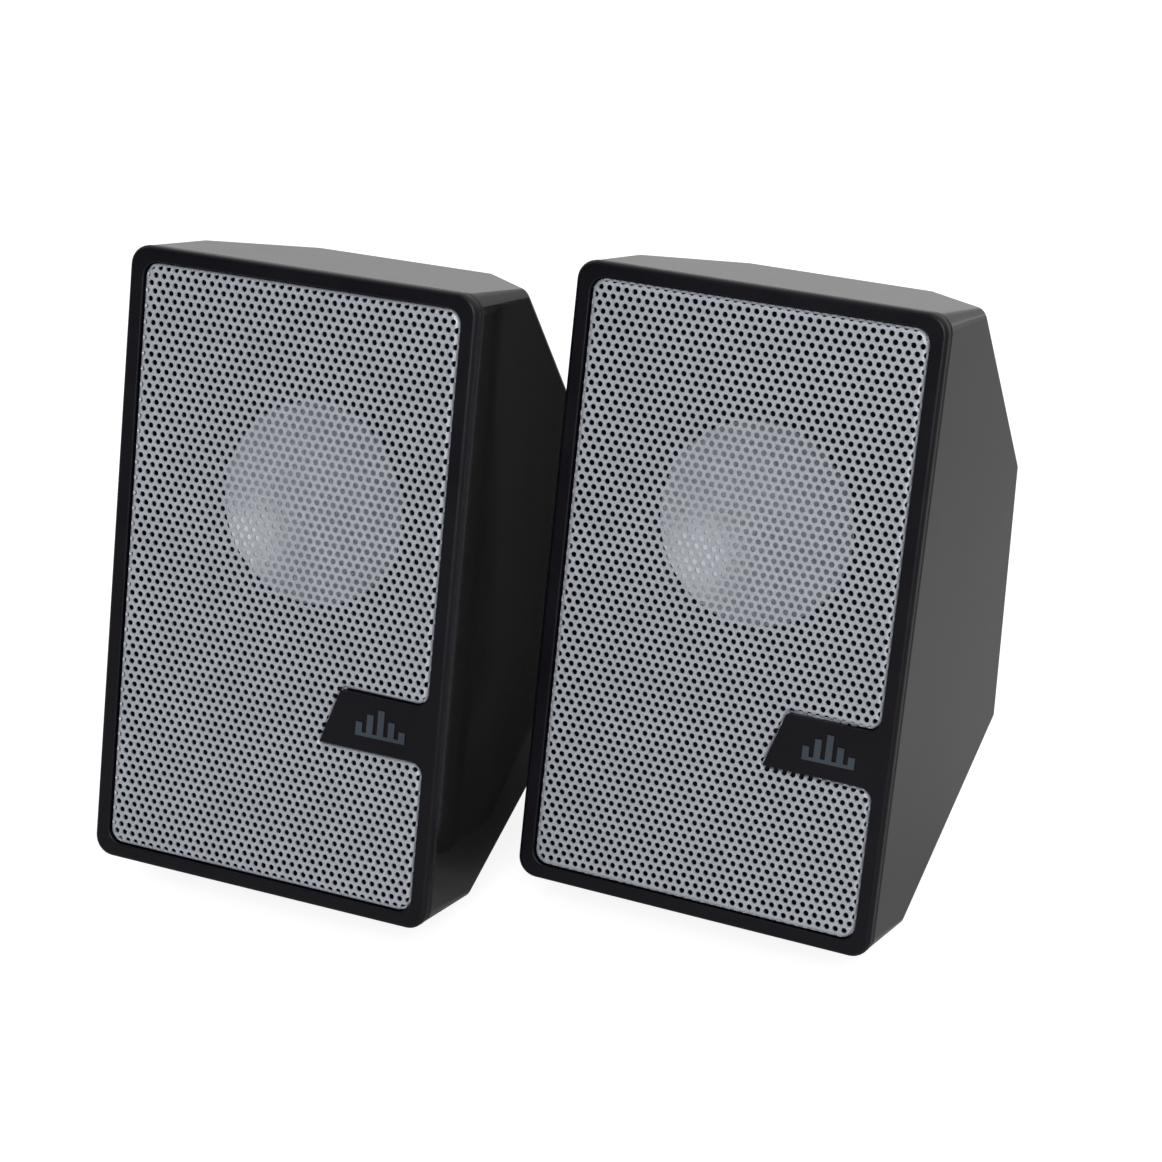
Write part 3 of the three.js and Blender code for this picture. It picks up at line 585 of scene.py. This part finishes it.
def pressed_sheet(side):
    """Perforated sheet with a bent-back edge, cut to shape round the tab and pressed in a little."""
    steps, batch, least_gap = 6, 2000, 1e-5
    past_edge = 0.3             # the part of a hole's radius by which its centre may lie outside the edge
    bend = [math.radians(90 * k / steps) for k in range(steps + 1)]
    insets = [GAP + BEND * (1 - math.cos(a)) for a in bend]
    outlines = [np.array(rounded(opening(), inset, 6)) for inset in insets]
    edge, holes_end = outlines[0], outlines[1]
    centres = hole_centres() + PATTERN_SHIFT[side]
    near = inside(centres, edge) | (distance_to(centres, edge) < HOLE_RADIUS * past_edge)
    centres = centres[near]

    points, edges = [], []
    for ring in [*outlines, *(circle(HOLE_RADIUS, HOLE_SIDES, x, z, math.pi / 12) for x, z in centres)]:
        first, count = len(points), len(ring)
        points += [Vector(p) for p in ring]
        edges += [(first + i, first + (i + 1) % count) for i in range(count)]
    verts, _, triangles, *_ = delaunay_2d_cdt(points, edges, [], 0, least_gap)
    flat = np.array([tuple(v) for v in verts])
    triangles = np.array(triangles)
    middles = flat[triangles].mean(axis=1)
    keep = inside(middles, edge)
    in_reach = inside(middles, holes_end)
    for start in range(0, len(middles), batch):
        part = slice(start, start + batch)
        gaps = np.linalg.norm(middles[part, None] - centres[None], axis=2).min(axis=1)
        keep[part] &= ~((gaps < HOLE_RADIUS * math.cos(math.pi / HOLE_SIDES)) & in_reach[part])
    triangles = triangles[keep]

    inward = np.clip(BEND - distance_to(flat, edge), 0, BEND)
    u, v = flat[:, 0] / outlines[-1][:, 0].max(), flat[:, 1] / outlines[-1][:, 1].max()
    u, v = np.clip(np.abs(u), 0, 1), np.clip(np.abs(v), 0, 1)
    depth = GRILLE_FRONT + BEND - np.sqrt(BEND ** 2 - inward ** 2)
    depth += DISH[0] * (1 - u ** 2) * (1 - v ** 2) + DISH[1] * (1 - u ** 4) * (1 - v ** 4)

    bm = bmesh.new()
    made = [bm.verts.new((p[0], y, p[1])) for p, y in zip(flat, depth)]
    for triangle in triangles:
        bm.faces.new([made[i] for i in triangle])
    bmesh.ops.delete(bm, geom=[v for v in bm.verts if not v.link_faces], context="VERTS")
    bent_back = GRILLE_FRONT + BEND * 0.97       # only the sheet's own edge lies as far back as this
    rim = [e for e in bm.edges if e.is_boundary and all(v.co.y > bent_back for v in e.verts)]
    wall = bmesh.ops.extrude_edge_only(bm, edges=rim)["geom"]
    for v in wall:
        if isinstance(v, bmesh.types.BMVert):
            v.co.y = GRILLE_FRONT + GRILLE_DEPTH
    obj = to_object(bm, f"{side}_grille_sheet")
    thick = obj.modifiers.new("sheet", "SOLIDIFY")
    thick.thickness = SHEET
    thick.offset = -1
    thick.use_even_offset = False
    settle(obj)
    shade(obj, 42)
    return place(obj, CABINET[side], f"{side}_speaker", GRILLE_PAINT, "grille", f"{side}_grille")


# ---------------------------------------------------------------- rear shell

def side_x(y):
    return WIDTH / 2 - y * SIDE_DRAFT


def facet(half):
    """The sharp corners that a right-hand corner facet meets, and the facet's depth at any x and z."""
    upper = half is UPPER

    def edge_z(y):
        return HEIGHT / 2 - y * TOP_DRAFT if upper else -HEIGHT / 2 + y * BOTTOM_DRAFT

    corner = Vector((side_x(half["corner_y"]), half["corner_y"], edge_z(half["corner_y"])))
    end = Vector((side_x(half["side_y"]), half["side_y"], half["side_z"]))
    rise = (end.y - corner.y + FACET_SLOPE * (end.x - corner.x)) / (end.z - corner.z)

    def depth_at(x, z):
        return corner.y - FACET_SLOPE * (x - corner.x) + rise * (z - corner.z)

    ridge = Vector((RIDGE_X, depth_at(RIDGE_X, corner.z), 0))
    ridge.z = edge_z(ridge.y)
    rear = Vector((RIDGE_X, depth_at(RIDGE_X, half["side_z"]), half["side_z"]))
    return corner, end, ridge, rear, depth_at


def cabinet_points(steps=9):
    """The cabinet's corner points behind the seam. Its long edges are rounded, less so near the facets."""
    front = rectangle(side_x(SHELL_FRONT), HEIGHT / 2 - SHELL_FRONT * TOP_DRAFT, CORNER_RADIUS)
    points = [Vector((p.x, SHELL_FRONT, p.y)) for p in rounded(front, steps=steps)]
    for half in (UPPER, LOWER):
        corner, end, ridge, rear, depth_at = facet(half)
        up = math.copysign(1, corner.z)
        radius = half["radius"]
        quarter = [end, ridge, rear]
        for k in range(steps + 1):
            angle = math.pi / 2 * k / steps
            x = corner.x - radius * (1 - math.cos(angle))
            z = corner.z - up * radius * (1 - math.sin(angle))
            quarter.append(Vector((x, depth_at(x, z), z)))
        points += quarter + [Vector((-p.x, p.y, p.z)) for p in quarter]
    return points


def hull(points, name, edge_radius=0.0):
    """The closed form round some points, with its facets' edges rounded."""
    flat, ridge = math.radians(0.6), math.radians(16)
    bm = bmesh.new()
    for p in points:
        bm.verts.new(p)
    bmesh.ops.convex_hull(bm, input=bm.verts)
    bmesh.ops.dissolve_limit(bm, angle_limit=flat, verts=bm.verts, edges=bm.edges)
    if edge_radius:
        steep = [e for e in bm.edges if len(e.link_faces) == 2 and e.calc_face_angle() > ridge]
        bmesh.ops.bevel(
            bm, geom=steep, offset=edge_radius, offset_type="OFFSET", segments=4, profile=0.5, affect="EDGES",
        )
    return to_object(bm, name)


def rear_wall_matrix(x, z):
    """A frame on the flat middle of the back whose y axis points straight out of the wall."""
    top, bottom = facet(UPPER)[3], facet(LOWER)[3]
    slope = (bottom.y - top.y) / (top.z - bottom.z)
    y = top.y + slope * (top.z - z)
    return Matrix.Translation((x, y, z)) @ Matrix.Rotation(math.atan(slope), 4, "X")


WHEEL_PLACE = Matrix.Translation((WHEEL_X, WHEEL_Y, WHEEL_Z)) @ Matrix.Rotation(math.pi / 2, 4, "X")


def rear_shell(side):
    """A thin shell with screw tubes inside and screw wells, gland holes and a wheel slot cut into it."""
    outside = cabinet_points()
    whole = hull(outside, f"{side}_shell_moulding", EDGE_RADIUS)
    deepest = facet(LOWER)[3].y - SHELL_FRONT
    smaller = [
        Vector((p.x * (1 - 2 * WALL / WIDTH), SHELL_FRONT + (p.y - SHELL_FRONT) * (1 - WALL / deepest),
                p.z * (1 - 2 * WALL / HEIGHT)))
        for p in outside
    ]
    mouth = [Vector((p.x, SHELL_FRONT - 1, p.z)) for p in smaller if p.y < SHELL_FRONT + 0.1]
    tubes, cuts = bmesh.new(), bmesh.new()
    bore, past_back = SCREW_RADIUS + GAP, LOWER["side_y"]
    well = [(0, BOSS_BACK), (bore, BOSS_BACK), (bore, SCREW_SEAT), (WELL_RADIUS, SCREW_SEAT),
            (WELL_RADIUS, past_back), (0, past_back)]
    for x, z in square_places(SCREW_X, SCREW_Z):
        rod(tubes, TUBE_RADIUS, BOSS_BACK + GAP, past_back, 40, x, z)
        turned(cuts, well, 40, x, z)
    hollow = cut_away(hull(smaller + mouth, "hollow"), to_object(tubes, "tubes"))
    cut_away(whole, hollow)
    for x in (-GLAND_X, GLAND_X) if side == "right" else (-GLAND_X,):
        part = bmesh.new()
        rod(part, GLAND_NECK + GAP, -3 * WALL, 3 * WALL, 48)
        bmesh.ops.transform(part, matrix=rear_wall_matrix(x, GLAND_Z), verts=part.verts)
        add_to(cuts, part)
    if side == "right":
        part = bmesh.new()
        half = WHEEL_THICKNESS / 2 + SLOT_BESIDE
        rod(part, WHEEL_RADIUS + SLOT_ROUND, -half, half, 72)
        bmesh.ops.transform(part, matrix=WHEEL_PLACE, verts=part.verts)
        add_to(cuts, part)
    cut_away(whole, to_object(cuts, "cuts"))
    shade(whole, 28, weighted=True)
    return place(whole, CABINET[side], f"{side}_speaker", SHELL_GLOSS, "rear_shell", f"{side}_rear_shell")


# ---------------------------------------------------------------- driver

def lathe_piece(name, outline, segments=ROUND):
    bm = bmesh.new()
    turned(bm, outline, segments)
    return shade(to_object(bm, name), 35)


def driver_matrix(side):
    return CABINET[side] @ Matrix.Translation((0, 0, DRIVER_Z))


def cone(side):
    """A smooth concave dish with a rolled rim and no separate dust cap."""
    rim, rim_y, deep, thick, steps = 22.4, 14.0, 7.0, 0.6, 28
    radii = [rim * i / steps for i in range(steps + 1)]
    front = [(r, rim_y + deep * (1 - (r / rim) ** 2)) for r in radii]
    lip = arc(rim, rim_y + thick / 2, thick / 2, -80, 80, 6)
    back = [(r, y + thick) for r, y in reversed(front)]
    obj = lathe_piece(f"{side}_dish", front[:-1] + lip + back[1:])
    return place(obj, driver_matrix(side), f"{side}_diaphragm", CONE_METAL, "cone", f"{side}_cone")


def surround(side):
    inner, middle_r, outer, roll, sheet, face = 22.9, 24.5, 26.3, 1.5, 0.5, 13.9
    front = arc(middle_r, face, roll, 180, 360, 16)
    back = arc(middle_r, face + sheet, roll - sheet, 360, 180, 16)
    outline = [(inner, face), *front, (outer, face), (outer, face + sheet), *back, (inner, face + sheet),
               (inner, face)]
    obj = lathe_piece(f"{side}_roll_surround", outline)
    return place(obj, driver_matrix(side), f"{side}_speaker", SOFT_RUBBER, "surround", f"{side}_surround")


# ---------------------------------------------------------------- the driver's inner parts

def basket(side):
    """A stamped dish with four windows, on a square flange."""
    mouth, neck, inner, wall, soft = 28.0, 18.8, 8.2, 1.2, 0.3
    mouth_front, mouth_back, neck_front, back = FLANGE_FRONT + 0.05, 16.5, 29.0, PLATE_FRONT - GAP
    window_width, window_depth, window_length = mouth * 0.65, 9, mouth * 2.5
    bm = bmesh.new()
    turned(bm, [
        (mouth - wall, mouth_front), (mouth, mouth_front), (mouth, mouth_back), (neck, neck_front),
        (neck, back - soft), (neck - soft, back), (inner, back), (inner, back - wall),
        (neck - wall, back - wall), (neck - wall, neck_front - wall / 2),
        (mouth - wall, mouth_back - wall / 2), (mouth - wall, mouth_front),
    ])
    obj = to_object(bm, f"{side}_basket_stamping")
    for turn in (0, 1):
        window = bmesh.new()
        bmesh.ops.create_cube(window, size=1)
        bmesh.ops.scale(window, vec=(window_width, window_depth, window_length), verts=window.verts)
        quarter = Matrix.Rotation(math.pi / 4 + turn * math.pi / 2, 4, "Y")
        middle_y = (mouth_back + neck_front) / 2
        bmesh.ops.transform(window, matrix=Matrix.Translation((0, middle_y, 0)) @ quarter, verts=window.verts)
        cut_away(obj, to_object(window, "window"))

    flange = bmesh.new()
    square = rectangle(FLANGE_HALF, FLANGE_HALF, 6)
    edge = loop(flange, rounded(square, soft), FLANGE_FRONT)
    outer = [loop(flange, rounded(square), y) for y in (FLANGE_FRONT + soft, FLANGE_BACK)]
    bridge(flange, edge, outer[0])
    bridge(flange, *outer)
    holes = [circle(mouth - wall / 2, ROUND)]
    holes += [circle(SCREW_RADIUS + GAP, 24, x, z) for x, z in square_places(DRIVER_SCREW, DRIVER_SCREW)]
    near, far = [[loop(flange, hole, y) for hole in holes] for y in (FLANGE_FRONT, FLANGE_BACK)]
    for a, b in zip(near, far):
        bridge(flange, a, b)
    fill(flange, edge, *near)
    fill(flange, outer[1], *far)
    bmesh.ops.recalc_face_normals(flange, faces=flange.faces)
    flange.from_mesh(obj.data)
    flange.to_mesh(obj.data)
    flange.free()
    shade(obj, 35)
    return place(obj, driver_matrix(side), f"{side}_speaker", BASKET_METAL, "basket", f"{side}_driver_basket")


def ring_outline(inner, outer, front, back, soft):
    """A ring's section with bevelled corners."""
    return [(inner, back - soft), (inner, front + soft), (inner + soft, front), (outer - soft, front),
            (outer, front + soft), (outer, back - soft), (outer - soft, back), (inner + soft, back),
            (inner, back - soft)]


def motor(side):
    """The spider, the top plate, the magnet and the yoke, and the coil that moves among them."""
    steps, waves, wave, cloth, cloth_in, cloth_out, cloth_front = 48, 2, 1.2, 0.5, 7.7, 18.4, 26.0
    web = [(cloth_in + (cloth_out - cloth_in) * i / steps,
            cloth_front + wave / 2 * (1 - math.cos(math.tau * waves * i / steps))) for i in range(steps + 1)]
    spider = [*web, *((r, y + cloth) for r, y in reversed(web)), web[0]]
    pole, rim, pole_front, rim_front, soft = 6.1, MAGNET_RADIUS - 2, PLATE_FRONT - 1, MAGNET_BACK + GAP, 0.8
    yoke = [(0, pole_front), (pole - 0.5, pole_front), (pole, pole_front + 0.5), (pole, rim_front),
            (rim, rim_front), (rim, YOKE_BACK - soft), (rim - soft, YOKE_BACK), (0, YOKE_BACK)]
    plate = ring_outline(COIL_RADIUS + 0.7, rim, PLATE_FRONT, PLATE_BACK, 0.3)
    magnet = ring_outline(COIL_RADIUS + 2.2, MAGNET_RADIUS, PLATE_BACK + GAP, MAGNET_BACK, 0.6)
    for name, outline, material, slot, node in (
        ("corrugated_spider", spider, SPIDER_CLOTH, "spider", "spider"),
        ("pole_plate", plate, ZINC, "motor_steel", "top_plate"),
        ("ferrite_ring", magnet, FERRITE, "magnet", "magnet"),
        ("yoke_turning", yoke, ZINC, "motor_steel", "yoke"),
    ):
        obj = lathe_piece(f"{side}_{name}", outline)
        place(obj, driver_matrix(side), f"{side}_speaker", material, slot, f"{side}_{node}")

    inside, former, front, back = 6.7, 7.0, 22.2, 36.0
    turns, wire, wound_from, valley = 20, 0.25, 30.6, 0.1
    wound_to = wound_from + turns * wire
    winding = []
    for k in range(turns):
        y = wound_from + k * wire
        winding += [(former + valley, y), (COIL_RADIUS, y + wire / 2)]
    outline = [(inside, back), (inside, front), (former, front), (former, wound_from - valley), *winding,
               (former + valley, wound_to), (former, wound_to + valley), (former, back), (inside, back)]
    coil = lathe_piece(f"{side}_wound_coil", outline, 64)
    place(coil, driver_matrix(side), f"{side}_diaphragm", COPPER, "voice_coil", f"{side}_voice_coil")


def capacitor():
    """A sleeved can with a rolled groove near its foot."""
    radius, height, soft, groove = 5.0, 15.0, 0.4, 0.35
    lid, rim, rim_width = height - 0.25, 0.5, 0.9
    outline = [(0, 0), (radius - soft, 0), (radius, soft), (radius, 1.8), (radius - groove, 2.2),
               (radius - groove, 2.6), (radius, 3), (radius, height - rim), (radius - rim, height),
               (radius - rim_width, lid), (0, lid)]
    foot = CABINET["right"] @ Matrix.Translation((CAPACITOR_X, CAPACITOR_Y, BOARD_TOP + GAP))
    upright = foot @ Matrix.Rotation(math.pi / 2, 4, "X")
    obj = lathe_piece("sleeved_can", outline, 64)
    return place(obj, upright, "right_speaker", SLEEVE, "capacitor", "smoothing_capacitor")


# ---------------------------------------------------------------- screws, glands, wheel

def screw(bm, seat, head, tip):
    """A pan-head screw without its recess, its head towards the back of the cabinet."""
    head_edge, point, steps = 0.5, 1.0, 8
    angles = [math.pi / 2 * k / steps for k in range(steps + 1)]
    dome = [(HEAD_RADIUS * math.cos(a), seat + head_edge + (head - head_edge) * math.sin(a)) for a in angles]
    turned(bm, [(0, tip), (SCREW_RADIUS * 0.5, tip), (SCREW_RADIUS, tip + point), (SCREW_RADIUS, seat),
                (HEAD_RADIUS, seat), *dome], 40)


def recess_bar(back, turn):
    """One bar of a cross recess, wider at its mouth. The second bar goes a little deeper than the first, so
    that the two floors don't lie in one plane."""
    length, width, depth, deeper, tall, narrowing = 2.9, 0.62, 1.2, 0.03, 1.6, 0.55
    bm = bmesh.new()
    bmesh.ops.create_cube(bm, size=1)
    for v in bm.verts:
        taper = 1.0 if v.co.y > 0 else narrowing
        y = back - depth - deeper * turn + (v.co.y + 0.5) * tall
        v.co = Vector((v.co.x * length * taper, y, v.co.z * width * taper))
    bmesh.ops.transform(bm, matrix=Matrix.Rotation(math.pi / 4 + turn * math.pi / 2, 4, "Y"), verts=bm.verts)
    return to_object(bm, "recess_bar")


def screws(side, name, places, seat, head, tip, at, material, node):
    """Screws at some places in a matrix's frame, each turned a little further than the one before."""
    further = 0.5
    bm = bmesh.new()
    screw(bm, seat, head, tip)
    pattern = to_object(bm, "screw")
    for turn in (0, 1):
        cut_away(pattern, recess_bar(seat + head, turn))
    shade(pattern, 35)
    for index, (x, z) in enumerate(places, 1):
        obj = linked(bpy.data.objects.new(f"{side}_{name}_{index}", pattern.data.copy()))
        turned_at = at @ Matrix.Translation((x, 0, z)) @ Matrix.Rotation(further * index, 4, "Y")
        place(obj, turned_at, f"{side}_speaker", material, "screw", f"{side}_{node}_{index}")
    bpy.data.objects.remove(pattern)


def gland(side, x, node):
    """A rubber grommet with a rounded edge, a shallow groove in its face and a rounded mouth."""
    flange, bore, inner, outer = 5.6, 1.7, -4.5, 2.2
    edge, lip, groove_out, groove_in, groove_slope, groove_depth = 0.7, 0.5, 1.9, 2.7, 0.2, 0.4
    bead = arc(flange - edge, outer - edge, edge, 0, 90, 8)
    mouth = arc(bore + lip, outer - lip, lip, 90, 180, 6)
    groove = [(flange - groove_out, outer), (flange - groove_out - groove_slope, outer - groove_depth),
              (flange - groove_in + groove_slope, outer - groove_depth), (flange - groove_in, outer)]
    outline = [(bore, inner), (GLAND_NECK - 0.6, inner), (GLAND_NECK, inner + 1), (GLAND_NECK, GAP),
               (flange, GAP), *bead, *groove, *mouth, (bore, inner)]
    obj = lathe_piece(f"{side}_{node}_grommet", outline, 64)
    at = CABINET[side] @ rear_wall_matrix(x, GLAND_Z)
    return place(obj, at, f"{side}_speaker", SOFT_RUBBER, "gland", f"{side}_{node}")


def thumbwheel():
    """A knurled wheel on its stub, with a shallow hollow in its outer face."""
    teeth, per_tooth, depth, half, soft = 60, 4, 0.35, WHEEL_THICKNESS / 2, 0.5
    stub, stub_length, hollow, hollow_floor, hollow_depth = 1.5, 3.4, 2.2, 2.6, 0.5

    def ribbed(radius):
        """A circle, with teeth if it is the rim."""
        count = teeth * per_tooth
        rim = radius > WHEEL_RADIUS - soft / 2
        points = []
        for i in range(count):
            cut = depth * (0.5 - 0.5 * math.cos(math.tau * i / per_tooth)) if rim else 0
            angle = math.tau * i / count
            points.append(Vector(((radius - cut) * math.cos(angle), (radius - cut) * math.sin(angle))))
        return points

    bm = bmesh.new()
    rings = [(stub, -half - stub_length), (stub, -half), (WHEEL_RADIUS - soft, -half),
             (WHEEL_RADIUS, -half + soft), (WHEEL_RADIUS, half - soft), (WHEEL_RADIUS - soft, half),
             (WHEEL_RADIUS - hollow, half), (WHEEL_RADIUS - hollow_floor, half - hollow_depth)]
    loops = [loop(bm, ribbed(r), y) for r, y in rings]
    for a, b in zip(loops, loops[1:]):
        bridge(bm, a, b)
    bm.faces.new(loops[0])
    bm.faces.new(loops[-1])
    obj = shade(to_object(bm, "knurled_wheel"), 30)
    at = CABINET["right"] @ WHEEL_PLACE @ Matrix.Rotation(math.pi, 4, "X")
    return place(obj, at, "volume_control", FOOT_PLASTIC, "volume_wheel", "volume_wheel")


# ---------------------------------------------------------------- pieces that keep their CAD form

def softened(node, name, body, material, slot, width):
    """A node's CAD form with its edges rounded."""
    source = frame["nodes"][node]
    obj = source.copy()
    obj.data = source.data.copy()
    obj.parent = None
    for key in list(obj.keys()):
        del obj[key]
    obj.name = name
    linked(obj)
    bm = bmesh.new()
    bm.from_mesh(obj.data)
    bmesh.ops.remove_doubles(bm, verts=bm.verts, dist=1e-6)
    bmesh.ops.dissolve_limit(bm, angle_limit=math.radians(1), verts=bm.verts, edges=bm.edges)
    bm.to_mesh(obj.data)
    bm.free()
    soft = obj.modifiers.new("soft_edges", "BEVEL")
    soft.width = width * MM
    soft.segments = 3
    soft.angle_limit = math.radians(40)
    settle(obj)
    shade(obj, 30, weighted=True)
    return place(obj, Matrix.Identity(4), body, material, slot, node)


def plain_parts(side):
    """The foot, the pads, the terminal strip and the badge."""
    body = f"{side}_speaker"
    softened(f"{side}_stand_foot", f"{side}_foot_moulding", body, FOOT_PLASTIC, "stand_foot", 0.5)
    for end in ("front", "rear"):
        softened(f"{side}_{end}_pad", f"{side}_{end}_rubber_pad", body, SOFT_RUBBER, "pad", 0.35)
    softened(f"{side}_terminal_strip", f"{side}_solder_tag_strip", body, LAMINATE, "terminal_strip", 0.15)
    badge = frame["nodes"][f"{side}_badge"].data
    badge.materials.clear()
    badge.materials.append(BADGE_PRINT)


def amplifier():
    """The board and the parts on it, apart from the capacitor."""
    for node, name, material, slot, width in (
        ("amplifier_board", "amplifier_circuit_board", BOARD_GREEN, "board", 0.1),
        ("amplifier_chip", "amplifier_chip_package", CHIP_EPOXY, "chip", 0.2),
        ("amplifier_heatsink", "finned_heatsink", ALUMINIUM, "heatsink", 0.2),
        ("volume_potentiometer", "potentiometer_case", ZINC, "potentiometer", 0.25),
    ):
        softened(node, name, "right_speaker", material, slot, width)


# ---------------------------------------------------------------- floor and light

def stage():
    """White paper, lifted to white where it is looked at. Its far end behind the speakers glows a little, as
    if near a backdrop."""
    mesh = bpy.data.meshes.new("floor")
    bm = bmesh.new()
    bmesh.ops.create_grid(bm, x_segments=1, y_segments=1, size=6)
    bm.to_mesh(mesh)
    bm.free()
    floor = linked(bpy.data.objects.new("floor", mesh))
    material, tree, shader = new_material("floor_paper", specular=0.0)
    colour = blended(tree, mapped(tree, noise(tree, 6, 2), 0, 1), (0.47, 0.47, 0.47), (0.49, 0.49, 0.49))
    finish_material(tree, shader, colour, mapped(tree, noise(tree, 9, 2), 0.8, 0.95))
    shader.inputs["Emission Color"].default_value = (1, 1, 1, 1)
    seen = add_node(tree, "ShaderNodeLightPath").outputs["Is Camera Ray"]
    backward = add_node(tree, "ShaderNodeSeparateXYZ", Vector=own_place(tree)).outputs["Y"]
    lift = mapped(tree, seen, 0, 0.85, start=0, end=1)
    glow = mapped(tree, backward, 0, 0.26, start=0.35, end=1.1)
    tree.links.new(computed(tree, "ADD", lift, glow), shader.inputs["Emission Strength"])
    mesh.materials.append(material)


def softbox(name, place_at, aim, size, power):
    data = bpy.data.lights.new(name, "AREA")
    data.shape = "RECTANGLE"
    data.size, data.size_y = size
    data.energy = power
    light = linked(bpy.data.objects.new(name, data))
    light.location = place_at
    light.rotation_euler = (Vector(aim) - Vector(place_at)).to_track_quat("-Z", "Y").to_euler()


def lighting():
    """White all round, dimmer towards the front left, with a softbox overhead and one in front. The backdrop
    ends a little above the table, and the room beyond it is darker than the ceiling."""
    front_left = Vector((-0.35, -0.93, -0.05)).normalized()
    world = bpy.data.worlds.new("studio")
    bpy.context.scene.world = world
    world.use_nodes = True
    tree = world.node_tree
    tree.nodes.clear()
    looking = add_node(tree, "ShaderNodeTexCoord").outputs["Generated"]
    toward = add_node(tree, "ShaderNodeVectorMath", {"operation": "DOT_PRODUCT"})
    tree.links.new(looking, toward.inputs[0])
    toward.inputs[1].default_value = front_left
    dim = mapped(tree, toward.outputs["Value"], 0.95, 0.1, start=-0.7, end=0.75)
    height = add_node(tree, "ShaderNodeSeparateXYZ", Vector=looking).outputs["Z"]
    backdrop = mapped(tree, height, 1, 0.5, start=0.0, end=0.08)
    ceiling = mapped(tree, height, 0.5, 1, start=0.3, end=0.55)
    around = computed(tree, "MULTIPLY", dim, computed(tree, "MAXIMUM", backdrop, ceiling))
    seen = add_node(tree, "ShaderNodeLightPath").outputs["Is Camera Ray"]
    strength = computed(tree, "MAXIMUM", around, seen)
    background = add_node(tree, "ShaderNodeBackground", Color=(1, 1, 1, 1), Strength=strength)
    output = tree.nodes.new("ShaderNodeOutputWorld")
    tree.links.new(background.outputs[0], output.inputs["Surface"])
    softbox("overhead", place_at=(0.1, 0.1, 1.5), aim=(0, 0, 0), size=(1.6, 1.6), power=3.3)
    softbox("front", place_at=(0.52, -1.15, 0.78), aim=(0, 0, 0.08), size=(0.9, 0.9), power=11.0)
    bpy.context.scene.view_settings.view_transform = "Standard"


# ---------------------------------------------------------------- everything

for one in SIDES:
    front_frame(one)
    pressed_sheet(one)
    rear_shell(one)
    cone(one)
    surround(one)
    basket(one)
    motor(one)
    screws(one, "case_screw", square_places(SCREW_X, SCREW_Z), SCREW_SEAT + GAP, CASE_SCREW_HEAD,
           CASE_SCREW_TIP, CABINET[one], BLACK_ZINC, "housing_screw")
    screws(one, "flange_screw", square_places(DRIVER_SCREW, DRIVER_SCREW), FLANGE_BACK + GAP,
           FLANGE_SCREW_HEAD, FLANGE_SCREW_TIP, driver_matrix(one), ZINC, "driver_screw")
    gland(one, -GLAND_X, "link_gland")
    plain_parts(one)
gland("right", GLAND_X, "supply_gland")
thumbwheel()
amplifier()
capacitor()
stage()
lighting()
